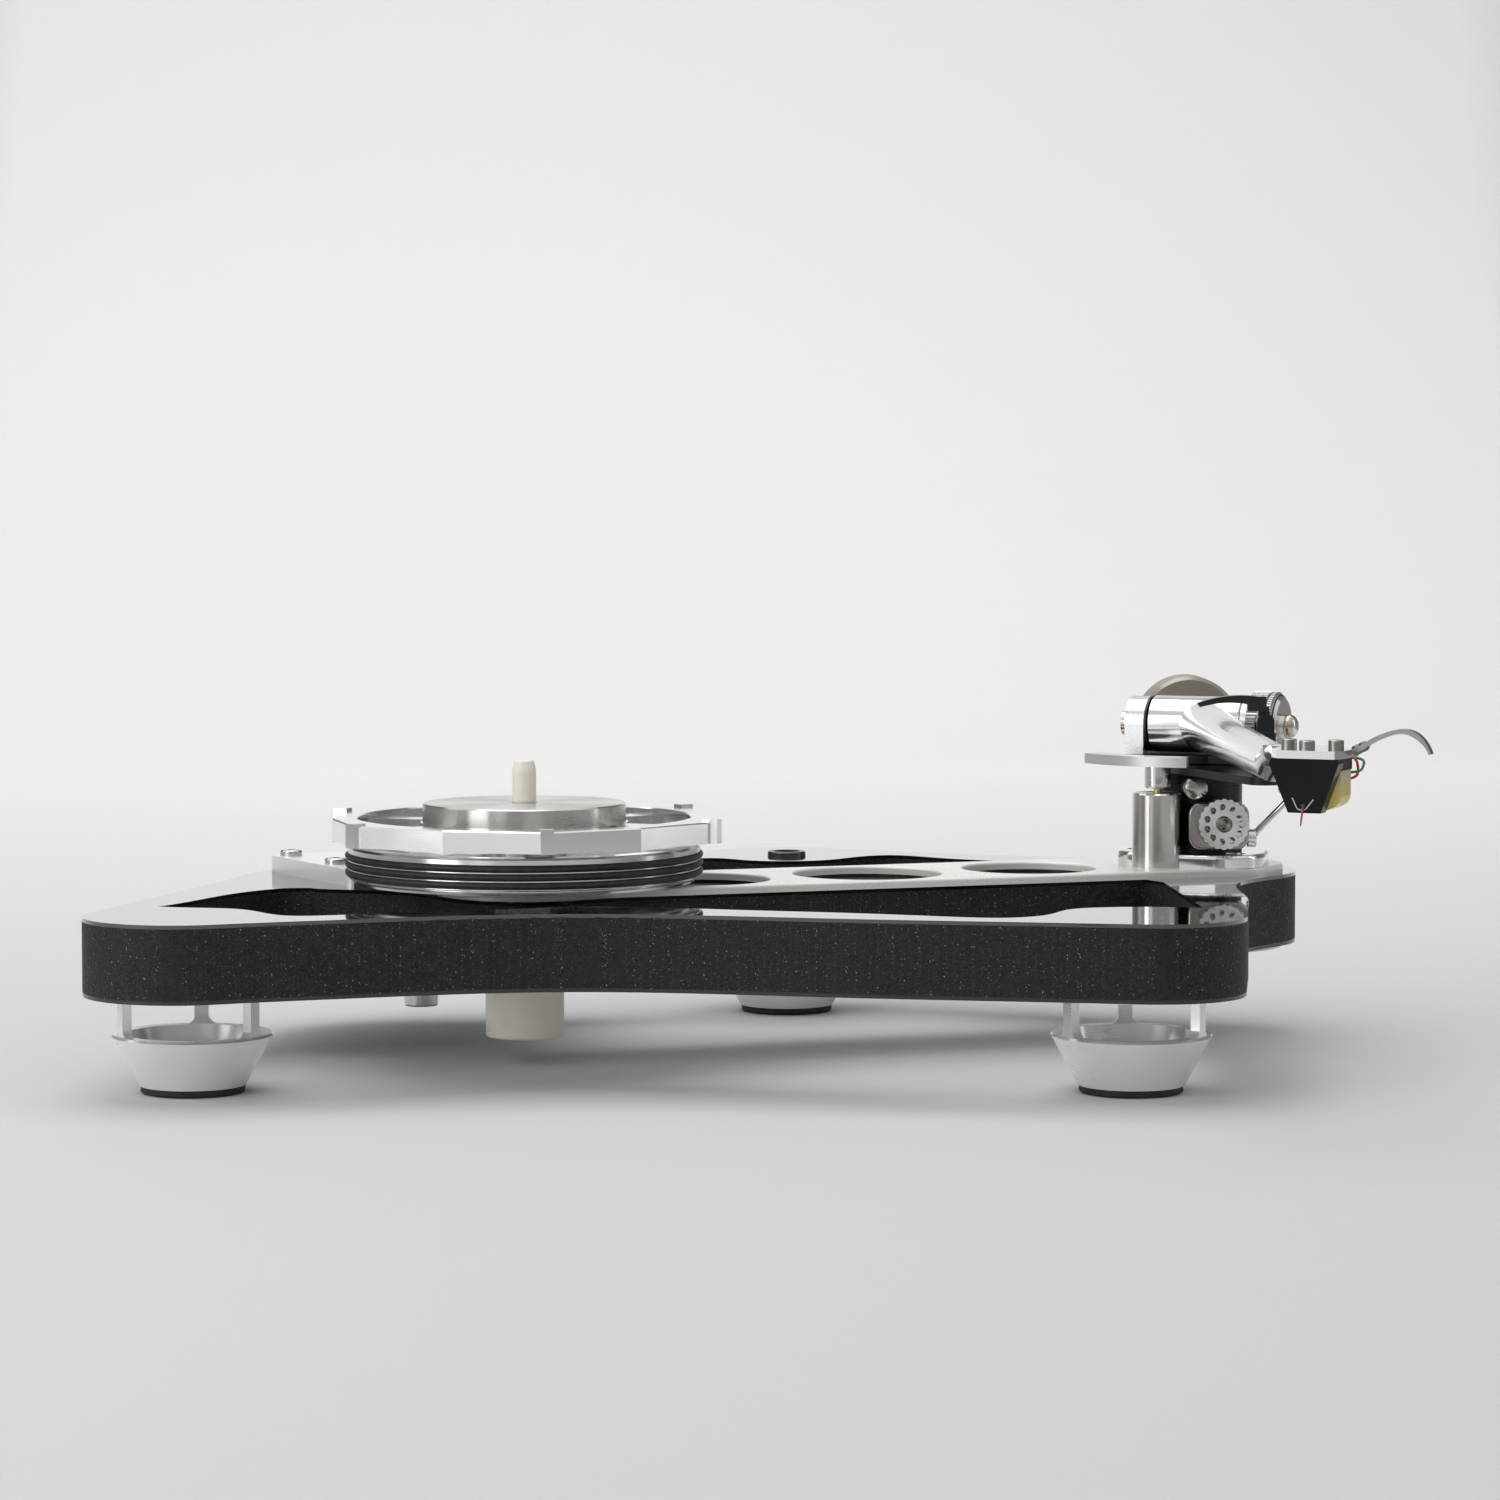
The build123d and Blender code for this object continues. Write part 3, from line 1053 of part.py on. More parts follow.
def head_plane(forward, height, across=0.0):
    """A plane facing forward on the headshell; its x points to the spindle's far side."""
    x, y = yawed(across, forward, SCREW_CENTRE)
    return Plane(origin=(x, y, height), x_dir=(*heading(-YAW), 0), z_dir=(*heading(-90 - YAW), 0))


CARTRIDGE_BOTTOM = 86.8
with BuildPart() as cartridge_body:
    with BuildSketch(head_plane(4.0, 0)):
        with BuildLine():
            Polyline((-8.6, PLATE_BOTTOM), (-9.0, PLATE_BOTTOM - 1.6), (-3.9, CARTRIDGE_BOTTOM),
                     (4.9, CARTRIDGE_BOTTOM), (9.6, PLATE_BOTTOM - 1.2), (9.4, PLATE_BOTTOM), close=True)
        make_face()
    extrude(amount=4.8)
    with BuildSketch(head_plane(-5.5, PLATE_BOTTOM - 1.6, 0.4)):
        Rectangle(17.4, 3.2)
    extrude(amount=9.5)
    with BuildSketch(Plane.XY.offset(PLATE_TOP)):
        with Locations(*screw_places):
            Circle(1.2)
    extrude(amount=-5.0, mode=Mode.SUBTRACT)
cartridge_body.part.label = "cartridge_body"
export_step(cartridge_body.part, "parts/cartridge_body.step")

with BuildPart() as cartridge_shell:
    shell_top = PLATE_BOTTOM - 3.2
    with BuildSketch(head_plane(-5.5, 0, 0.4)):
        with BuildLine():
            Polyline((-4.0, CARTRIDGE_BOTTOM + 0.2), (-8.4, 92.0), (-8.4, shell_top), (8.4, shell_top), (8.4, 91.2))
            Spline((8.4, 91.2), (6.9, 88.3), (3.6, CARTRIDGE_BOTTOM + 0.2), tangents=((0, -1), (-1, -0.3)))
            Line((3.6, CARTRIDGE_BOTTOM + 0.2), (-4.0, CARTRIDGE_BOTTOM + 0.2))
        make_face()
    extrude(amount=9.5)
cartridge_shell.part.label = "cartridge_shell"
export_step(cartridge_shell.part, "parts/cartridge_shell.step")

with BuildPart() as stylus:
    with BuildLine():
        tip = Vector(*yawed(0.3, 11.4, SCREW_CENTRE), 85.2)
        root = Vector(*yawed(0.3, 9.2, SCREW_CENTRE), 87.8)
        Line(root, tip)
    with BuildSketch(Plane(origin=root, z_dir=tip - root)):
        Circle(0.42)
    sweep()
    with BuildSketch(Plane(origin=tip + Vector(0, 0, 0.2), z_dir=(0, 0, -1))):
        Circle(0.38)
    extrude(amount=1.7, taper=9)
    with BuildSketch(head_plane(8.8, 87.9, 0.3)):
        Circle(0.9)
    extrude(amount=0.7)
stylus.part.label = "stylus"
export_step(stylus.part, "parts/stylus.step")

# four leads run back from the cartridge's pins, bow out to the right and end under the neck
LEAD_R = 0.33
with BuildPart() as cartridge_leads:
    for k in range(4):
        pin_across = -4.5 + 3.2 * k
        points = [Vector(*yawed(pin_across, -5.6, SCREW_CENTRE), 95.2 - 0.9 * k),
                  Vector(*yawed(pin_across + 0.2, -8.0, SCREW_CENTRE), 94.9 - 0.9 * k),
                  Vector(*yawed(pin_across + 1.6 + 0.7 * k, -11.0, SCREW_CENTRE), 94.4 - 0.7 * k),
                  Vector(*yawed(pin_across + 0.8 + 0.5 * k, -14.5, SCREW_CENTRE), 94.6 - 0.5 * k),
                  Vector(*yawed(-10.0 + 1.9 * k, -17.5 - 0.8 * k, SCREW_CENTRE), 95.6)]
        with BuildLine():
            lead_path = FilletPolyline(*points, radius=1.3)
        with BuildSketch(Plane(origin=lead_path @ 0, z_dir=lead_path % 0)):
            Circle(LEAD_R)
        sweep(path=lead_path)
cartridge_leads.part.label = "cartridge_leads"
export_step(cartridge_leads.part, "parts/cartridge_leads.step")

with BuildPart() as finger_lift:
    with BuildSketch(head_plane(-3.4, 0)):
        with BuildLine():
            Spline((10.2, 103.0), (14.4, 105.3), (20.0, 107.9), (25.4, 108.5), (29.2, 106.2), (31.4, 102.3),
                   tangents=((1, 0.35), (0.35, -1)))
            Line((31.4, 102.3), (30.8, 102.1))
            Spline((30.8, 102.1), (28.2, 105.5), (25.0, 107.2), (20.2, 106.7), (14.8, 104.1), (10.2, 101.6),
                   tangents=((-0.4, 1), (-1, -0.4)))
            Line((10.2, 101.6), (10.2, 103.0))
        make_face()
    extrude(amount=2.8)
finger_lift.part.label = "finger_lift"
export_step(finger_lift.part, "parts/finger_lift.step")

# ---- counterweight on the rear stub ----
WEIGHT_R = 16.2
WEIGHT_Z = 94.0
WEIGHT_FRONT = PIVOT_Y + 33.0
WEIGHT_LENGTH = 19.0
with BuildPart() as counterweight:
    with BuildSketch(Plane(origin=(PIVOT_X, WEIGHT_FRONT, 0), x_dir=(-1, 0, 0), z_dir=(0, 1, 0))):
        with Locations((0, WEIGHT_Z)):
            Circle(WEIGHT_R)
    extrude(amount=WEIGHT_LENGTH)
    chamfer(counterweight.edges(), 1.1)
    with BuildSketch(Plane(origin=(PIVOT_X, WEIGHT_FRONT, 0), x_dir=(-1, 0, 0), z_dir=(0, 1, 0))):
        with Locations((0, ARM_Z)):
            Circle(STUB_R + FIT)
    extrude(amount=WEIGHT_LENGTH, mode=Mode.SUBTRACT)
    with BuildSketch(Plane.XY.offset(WEIGHT_Z - WEIGHT_R)):
        with Locations((PIVOT_X, WEIGHT_FRONT + WEIGHT_LENGTH / 2)):
            Circle(1.5)
    extrude(amount=WEIGHT_R, mode=Mode.SUBTRACT)
counterweight.part.label = "counterweight"
export_step(counterweight.part, "parts/counterweight.step")

with BuildPart() as counterweight_screw:
    with BuildSketch(Plane.XY.offset(WEIGHT_Z - WEIGHT_R + 2.0)):
        with Locations((PIVOT_X, WEIGHT_FRONT + WEIGHT_LENGTH / 2)):
            Circle(1.5)
    extrude(amount=ARM_Z - STUB_R - 0.3 - WEIGHT_Z + WEIGHT_R - 2.0)
    with BuildSketch(Plane.XY.offset(WEIGHT_Z - WEIGHT_R + 2.0)):
        with Locations((PIVOT_X, WEIGHT_FRONT + WEIGHT_LENGTH / 2)):
            RegularPolygon(0.8, 6)
    extrude(amount=1.6, mode=Mode.SUBTRACT)
counterweight_screw.part.label = "counterweight_screw"
export_step(counterweight_screw.part, "parts/counterweight_screw.step")
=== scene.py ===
import json
import math

import bmesh
import bpy
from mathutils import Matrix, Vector


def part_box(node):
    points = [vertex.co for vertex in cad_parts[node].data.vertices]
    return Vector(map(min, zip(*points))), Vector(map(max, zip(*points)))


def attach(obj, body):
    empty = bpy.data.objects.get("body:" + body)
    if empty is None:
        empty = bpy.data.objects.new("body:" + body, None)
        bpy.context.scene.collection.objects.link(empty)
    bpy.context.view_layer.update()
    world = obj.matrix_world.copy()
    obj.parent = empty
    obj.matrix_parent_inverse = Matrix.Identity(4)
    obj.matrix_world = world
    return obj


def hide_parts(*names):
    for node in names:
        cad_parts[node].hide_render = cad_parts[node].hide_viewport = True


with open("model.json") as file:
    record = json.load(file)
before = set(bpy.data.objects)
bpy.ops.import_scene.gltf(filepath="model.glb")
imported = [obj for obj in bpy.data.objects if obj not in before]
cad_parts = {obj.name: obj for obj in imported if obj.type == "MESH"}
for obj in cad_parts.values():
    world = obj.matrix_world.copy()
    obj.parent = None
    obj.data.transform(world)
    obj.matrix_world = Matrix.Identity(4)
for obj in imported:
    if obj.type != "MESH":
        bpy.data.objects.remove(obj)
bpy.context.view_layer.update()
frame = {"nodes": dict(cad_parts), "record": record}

JOINTS = {j["name"]: j for j in frame["record"]["behaviour"]["joints"]}


def middle(node):
    low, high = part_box(node)
    return (low + high) / 2


HUB = middle("hub_disc")
PIVOT = Vector(JOINTS["arm_tilt"]["pos_m"])
TILT_AXIS = Vector(JOINTS["arm_tilt"]["axis"]).normalized()
FORWARD = Vector((-TILT_AXIS.y, TILT_AXIS.x, 0)).normalized() * (1 if TILT_AXIS.x < 0 else -1)
ACROSS = Vector((-FORWARD.y, FORWARD.x, 0))
MOTOR = middle("pulley")
UP = Vector((0, 0, 1))


# ---------------------------------------------------------------- camera
# the lens and sensor in millimetres, the places in metres and the dip in radians
LENS = 101.6
SENSOR_WIDTH = 36.0
CAMERA_FROM_HUB = (0.06711, -1.25533)
CAMERA_HEIGHT = 0.17104
CAMERA_DIP = 0.061944
camera_data = bpy.data.cameras.new("camera")
camera_data.lens = LENS
camera_data.sensor_width = SENSOR_WIDTH
camera_data.clip_start = 0.05
camera = bpy.data.objects.new("camera", camera_data)
bpy.context.scene.collection.objects.link(camera)
camera.location = (HUB.x + CAMERA_FROM_HUB[0], HUB.y + CAMERA_FROM_HUB[1], CAMERA_HEIGHT)
camera.rotation_euler = (math.pi / 2 - CAMERA_DIP, 0, 0)
bpy.context.scene.camera = camera


# ---------------------------------------------------------------- node helpers
class Nodes:
    """A short way to write a material's node tree."""

    def __init__(self, name):
        self.material = bpy.data.materials.new(name)
        self.material.use_nodes = True
        self.tree = self.material.node_tree
        self.shader = self.tree.nodes["Principled BSDF"]
        self.coords = self.tree.nodes.new("ShaderNodeTexCoord").outputs["Object"]

    def link(self, source, target):
        self.tree.links.new(source, target)

    def value(self, target, source):
        if isinstance(source, (int, float)):
            target.default_value = source
        elif isinstance(source, (tuple, list, Vector)):
            target.default_value = tuple(source)
        else:
            self.link(source, target)

    def math(self, operation, a, b=0.0, clamp=False):
        node = self.tree.nodes.new("ShaderNodeMath")
        node.operation = operation
        node.use_clamp = clamp
        self.value(node.inputs[0], a)
        self.value(node.inputs[1], b)
        return node.outputs[0]

    def vector(self, operation, a, b=(0, 0, 0)):
        node = self.tree.nodes.new("ShaderNodeVectorMath")
        node.operation = operation
        self.value(node.inputs[0], a)
        if operation == "SCALE":
            self.value(node.inputs["Scale"], b)
        elif operation != "LENGTH":
            self.value(node.inputs[1], b)
        return node.outputs["Value"] if operation in ("LENGTH", "DOT_PRODUCT") else node.outputs["Vector"]

    def combine(self, x, y, z):
        node = self.tree.nodes.new("ShaderNodeCombineXYZ")
        for socket, part in zip(node.inputs, (x, y, z)):
            self.value(socket, part)
        return node.outputs[0]

    def split(self, vector):
        node = self.tree.nodes.new("ShaderNodeSeparateXYZ")
        self.link(vector, node.inputs[0])
        return node.outputs

    def noise(self, vector, scale, detail=3.0, rough=0.55):
        node = self.tree.nodes.new("ShaderNodeTexNoise")
        self.link(vector, node.inputs["Vector"])
        node.inputs["Scale"].default_value = scale
        node.inputs["Detail"].default_value = detail
        node.inputs["Roughness"].default_value = rough
        return node.outputs[0]

    def cells(self, vector, scale):
        node = self.tree.nodes.new("ShaderNodeTexVoronoi")
        self.link(vector, node.inputs["Vector"])
        node.inputs["Scale"].default_value = scale
        return node.outputs

    def span(self, source, low, high, to_low=0.0, to_high=1.0):
        node = self.tree.nodes.new("ShaderNodeMapRange")
        self.value(node.inputs["Value"], source)
        node.inputs["From Min"].default_value = low
        node.inputs["From Max"].default_value = high
        node.inputs["To Min"].default_value = to_low
        node.inputs["To Max"].default_value = to_high
        return node.outputs[0]

    def mix(self, factor, a, b):
        node = self.tree.nodes.new("ShaderNodeMix")
        node.data_type = "RGBA"
        self.value(node.inputs[0], factor)
        self.value(node.inputs[6], a if not isinstance(a, (tuple, list)) else (*a[:3], 1))
        self.value(node.inputs[7], b if not isinstance(b, (tuple, list)) else (*b[:3], 1))
        return node.outputs[2]

    def bump(self, height, distance, strength=1.0):
        node = self.tree.nodes.new("ShaderNodeBump")
        node.inputs["Distance"].default_value = distance
        node.inputs["Strength"].default_value = strength
        self.link(height, node.inputs["Height"])
        return node.outputs["Normal"]

    def set(self, **sockets):
        names = {"base": "Base Color", "rough": "Roughness", "metal": "Metallic", "normal": "Normal",
                 "anisotropy": "Anisotropic", "tangent": "Tangent"}
        for key, source in sockets.items():
            target = self.shader.inputs[names[key]]
            if key == "base" and isinstance(source, (tuple, list)):
                source = (*source[:3], 1)
            self.value(target, source)
        return self.material


def about(n, centre, axis):
    """Radius and height of a point about an axis, as sockets."""
    offset = n.vector("SUBTRACT", n.coords, tuple(centre))
    height = n.vector("DOT_PRODUCT", offset, tuple(axis))
    along = n.vector("SCALE", tuple(axis), height)
    radius = n.vector("LENGTH", n.vector("SUBTRACT", offset, along))
    return radius, height


def turned(name, colour, rough, centre, axis=UP, groove=2600.0, depth=0.000008, tone=0.06, metal=1.0,
           streak=0.0):
    """Lathe-turned metal: fine rings about an axis, a soft change of tone, shine drawn out across them."""
    n = Nodes(name)
    radius, height = about(n, centre, axis)
    if streak:
        offset = n.vector("SUBTRACT", n.coords, tuple(centre))
        round_way = n.vector("NORMALIZE", n.vector("CROSS_PRODUCT", tuple(axis), offset))
        facing = n.tree.nodes.new("ShaderNodeNewGeometry").outputs["Normal"]
        n.set(tangent=n.vector("CROSS_PRODUCT", facing, round_way), anisotropy=streak)
    rings = n.combine(radius, 0.0, height)
    fine = n.noise(rings, groove, 3.0, 0.7)
    broad = n.noise(rings, groove / 12, 2.0)
    smudge = n.noise(n.coords, 60.0, 3.0)
    shade = n.math("ADD", n.span(fine, 0.3, 0.7, -tone, tone), n.span(broad, 0.3, 0.7, -tone, tone * 0.6))
    dark = tuple(c * (1 - 2.2 * tone) for c in colour)
    light = tuple(min(1.0, c * (1 + 1.2 * tone)) for c in colour)
    base = n.mix(n.span(shade, -2 * tone, 1.6 * tone), dark, light)
    swing = 0.06 if streak else 0.27
    roughness = n.math("ADD", n.span(fine, 0.3, 0.7, rough * (1 - swing), rough * (1 + swing)),
                       n.span(smudge, 0.4, 0.8, 0.0, 0.03 if streak else 0.06))
    return n.set(base=base, rough=roughness, metal=metal, normal=n.bump(fine, depth))


def knurled(name, colour, rough, centre, axis, teeth, reach):
    """Bright metal with a fine straight knurl beyond a radius, its grooves darkened as painted shade, and
    turned rings within it.
    """
    n = Nodes(name)
    side = Vector(axis).orthogonal().normalized()
    other = Vector(axis).cross(side)
    offset = n.vector("SUBTRACT", n.coords, tuple(centre))
    angle = n.math("ARCTAN2", n.vector("DOT_PRODUCT", offset, tuple(side)),
                   n.vector("DOT_PRODUCT", offset, tuple(other)))
    wave = n.math("SINE", n.math("MULTIPLY", angle, float(teeth)))
    radius, height = about(n, centre, axis)
    rim = n.span(radius, reach - 0.0003, reach)
    groove = n.math("MULTIPLY", n.span(wave, -0.2, 0.9, 1.0, 0.0), rim, clamp=True)
    fine = n.noise(n.combine(radius, 0.0, height), 4200.0, 2.0)
    base = n.mix(n.span(fine, 0.3, 0.7), tuple(c * 0.94 for c in colour), colour)
    # painted shade: the knurl's grooves darkened to about a fifth of the metal's colour
    base = n.mix(groove, base, tuple(c * 0.22 for c in colour))
    return n.set(base=base, rough=n.span(groove, 0.0, 1.0, rough, rough + 0.2), metal=1.0,
                 normal=n.bump(n.math("MULTIPLY", wave, rim), 0.00012, 0.8))


def satin(name, colour, rough, grain=1500.0, depth=0.000012, metal=1.0, stretch=(1, 1, 1), tone=0.08):
    """Satin or blasted metal: fine grain, soft smudges and slightly brighter worn spots."""
    n = Nodes(name)
    place = n.vector("MULTIPLY", n.coords, stretch)
    fine = n.noise(place, grain, 3.0, 0.65)
    smudge = n.noise(n.coords, 45.0, 4.0)
    shade = n.math("ADD", n.span(fine, 0.3, 0.7, -tone, tone), n.span(smudge, 0.3, 0.7, -tone, tone))
    base = n.mix(n.span(shade, -2 * tone, 2 * tone), tuple(c * (1 - 2 * tone) for c in colour),
                 tuple(min(1.0, c * (1 + 1.5 * tone)) for c in colour))
    roughness = n.math("ADD", n.span(fine, 0.3, 0.7, rough * 0.85, rough * 1.15),
                       n.span(smudge, 0.35, 0.75, 0.0, 0.05))
    return n.set(base=base, rough=roughness, metal=metal, normal=n.bump(fine, depth))


def moulded(name, colour, rough, grain=2500.0, depth=0.00001, coat=0.0, specular=0.5):
    """Painted or moulded plastic: fine orange peel, faint dust and a slight change of tone."""
    n = Nodes(name)
    peel = n.noise(n.coords, grain, 2.0)
    cloud = n.noise(n.coords, 80.0, 4.0)
    dark = tuple(c * 0.85 for c in colour)
    light = tuple(min(1.0, c * 1.18 + 0.002) for c in colour)
    base = n.mix(n.span(cloud, 0.3, 0.7), dark, light)
    roughness = n.math("ADD", n.span(peel, 0.3, 0.7, rough * 0.9, rough * 1.1),
                       n.span(cloud, 0.4, 0.7, 0.0, 0.05))
    material = n.set(base=base, rough=roughness, normal=n.bump(peel, depth))
    n.shader.inputs["Coat Weight"].default_value = coat
    n.shader.inputs["Specular IOR Level"].default_value = specular
    return material


def foam_edge():
    """The lacquered foam edge: deep black grains, fine bright specks that are partly the foam's own pale
    flecks and partly painted glints, and tiny pits.
    """
    n = Nodes("foam_edge")
    grains = n.cells(n.coords, 1500.0)
    grain_value = n.split(grains["Color"])[0]
    cloud = n.noise(n.coords, 260.0, 4.0, 0.6)
    body = n.mix(n.span(n.math("ADD", grain_value, cloud), 0.6, 1.7),
                 (0.004, 0.004, 0.0043), (0.022, 0.022, 0.0235))
    # bright specks in two layers, partly the foam's own pale flecks and partly painted glints, made smoother
    # where they show
    bright = 0.0
    for scale, low, strength in ((2300.0, 0.66, 0.45), (1500.0, 0.86, 1.0)):
        specks = n.cells(n.coords, scale)
        near = n.span(specks["Distance"], 0.12, 0.32, 1.0, 0.0)
        chosen = n.span(n.split(specks["Color"])[1], low, 1.0, 0.0, strength)
        bright = n.math("MAXIMUM", bright, n.math("MULTIPLY", chosen, near, clamp=True))
    base = n.mix(bright, body, (0.42, 0.42, 0.43))
    rough = n.math("SUBTRACT", n.span(grain_value, 0.0, 1.0, 0.45, 0.66), n.math("MULTIPLY", bright, 0.2))
    pits = n.math("ADD", grains["Distance"], n.math("MULTIPLY", cloud, 0.6))
    material = n.set(base=base, rough=rough, normal=n.bump(pits, 0.0003, 0.8))
    n.shader.inputs["Specular IOR Level"].default_value = 0.35
    return material


def lacquer():
    """Deep black gloss laminate with a clear coat, almost a mirror, with the faintest peel."""
    n = Nodes("black_gloss_laminate")
    peel = n.noise(n.coords, 160.0, 2.0)
    dust = n.cells(n.coords, 420.0)
    speck = n.math("MULTIPLY", n.span(n.split(dust["Color"])[0], 0.985, 1.0),
                   n.span(dust["Distance"], 0.05, 0.12, 1.0, 0.0), clamp=True)
    base = n.mix(speck, (0.006, 0.006, 0.007), (0.10, 0.10, 0.10))
    material = n.set(base=base, rough=n.span(n.noise(n.coords, 30.0, 3.0), 0.3, 0.7, 0.035, 0.07),
                     normal=n.bump(peel, 0.000012, 0.5))
    n.shader.inputs["Coat Weight"].default_value = 1.0
    n.shader.inputs["Coat Roughness"].default_value = 0.02
    n.shader.inputs["Specular IOR Level"].default_value = 0.9
    n.shader.inputs["IOR"].default_value = 1.6
    return material


def ceramic():
    """Ivory ceramic: smooth, slightly translucent, with faint turning rings and warmer edges."""
    n = Nodes("ivory_ceramic")
    radius, height = about(n, HUB, UP)
    rings = n.noise(n.combine(radius, 0.0, height), 2200.0, 2.0)
    cloud = n.noise(n.coords, 120.0, 4.0)
    base = n.mix(n.span(cloud, 0.3, 0.7), (0.90, 0.86, 0.765), (0.95, 0.92, 0.845))
    rough = n.span(rings, 0.3, 0.7, 0.30, 0.42)
    material = n.set(base=base, rough=rough, normal=n.bump(rings, 0.000012, 0.6))
    n.shader.inputs["Subsurface Weight"].default_value = 0.08
    n.shader.inputs["Subsurface Radius"].default_value = (0.002, 0.0015, 0.001)
    return material


def brace_finish():
    """Pale satin brace: fine even blasting under a clear coat."""
    n = Nodes("pale_satin_brace")
    fine = n.noise(n.coords, 3200.0, 2.0, 0.6)
    cloud = n.noise(n.coords, 35.0, 4.0)
    base = n.mix(n.span(cloud, 0.3, 0.7), (0.84, 0.835, 0.81), (0.90, 0.895, 0.87))
    rough = n.math("ADD", n.span(fine, 0.3, 0.7, 0.24, 0.34), n.span(cloud, 0.4, 0.7, 0.0, 0.05))
    return n.set(base=base, rough=rough, metal=0.12, normal=n.bump(fine, 0.00001, 0.6))


def rubber(name, colour, rough=0.62):
    """Matt rubber: a fine tooth with a little pale dust."""
    n = Nodes(name)
    fine = n.noise(n.coords, 2600.0, 3.0, 0.7)
    dust = n.noise(n.coords, 300.0, 5.0, 0.7)
    base = n.mix(n.span(dust, 0.45, 0.8), colour, tuple(c * 1.9 + 0.01 for c in colour))
    return n.set(base=base, rough=n.span(fine, 0.3, 0.7, rough * 0.9, rough * 1.1),
                 normal=n.bump(fine, 0.00002, 0.6))


def shell_plastic():
    """Translucent yellow shell that grows paler towards its top."""
    n = Nodes("yellow_shell")
    low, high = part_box("cartridge_shell")
    z = n.split(n.coords)[2]
    up = n.span(z, low.z + 0.35 * (high.z - low.z), low.z + 0.75 * (high.z - low.z))
    cloud = n.noise(n.coords, 500.0, 3.0)
    base = n.mix(up, (0.92, 0.76, 0.16), (0.82, 0.74, 0.50))
    base = n.mix(n.span(cloud, 0.4, 0.75, 0.0, 0.25), base, (0.95, 0.86, 0.42))
    material = n.set(base=base, rough=n.span(cloud, 0.3, 0.7, 0.12, 0.22), normal=n.bump(cloud, 0.00002, 0.5))
    n.shader.inputs["Transmission Weight"].default_value = 0.35
    n.shader.inputs["Subsurface Weight"].default_value = 0.3
    n.shader.inputs["Subsurface Radius"].default_value = (0.003, 0.002, 0.0006)
    n.shader.inputs["IOR"].default_value = 1.5
    return material


# ---------------------------------------------------------------- materials on the CAD nodes
SILVER = (0.86, 0.86, 0.85)
BRIGHT = (0.92, 0.92, 0.91)
BLACK = (0.012, 0.012, 0.013)
FRONT = Vector((0, -1, 0))
BACK = Vector((0, 1, 0))
DIAL_TEETH = 64
DIAL_KNURL_FROM = 0.0101

pillar_top = middle("arm_pillar")
lift_middle = middle("lift_cylinder")
bias_middle = middle("bias_knob")
screw_steel = satin("screw_steel", (0.66, 0.65, 0.63), 0.24, 2600.0)
arm_polish = satin("arm_polish", (0.84, 0.84, 0.85), 0.12, 1900.0, 0.000003, tone=0.03)
black_anodised = satin("black_anodised", (0.03, 0.03, 0.032), 0.34, 2600.0, 0.00001, metal=0.6)
turned_hub = turned("turned_hub", SILVER, 0.24, HUB, depth=0.000003, streak=0.8)
polished_ring = turned("polished_ring", BRIGHT, 0.13, HUB, groove=4200.0, depth=0.0000008, tone=0.02)

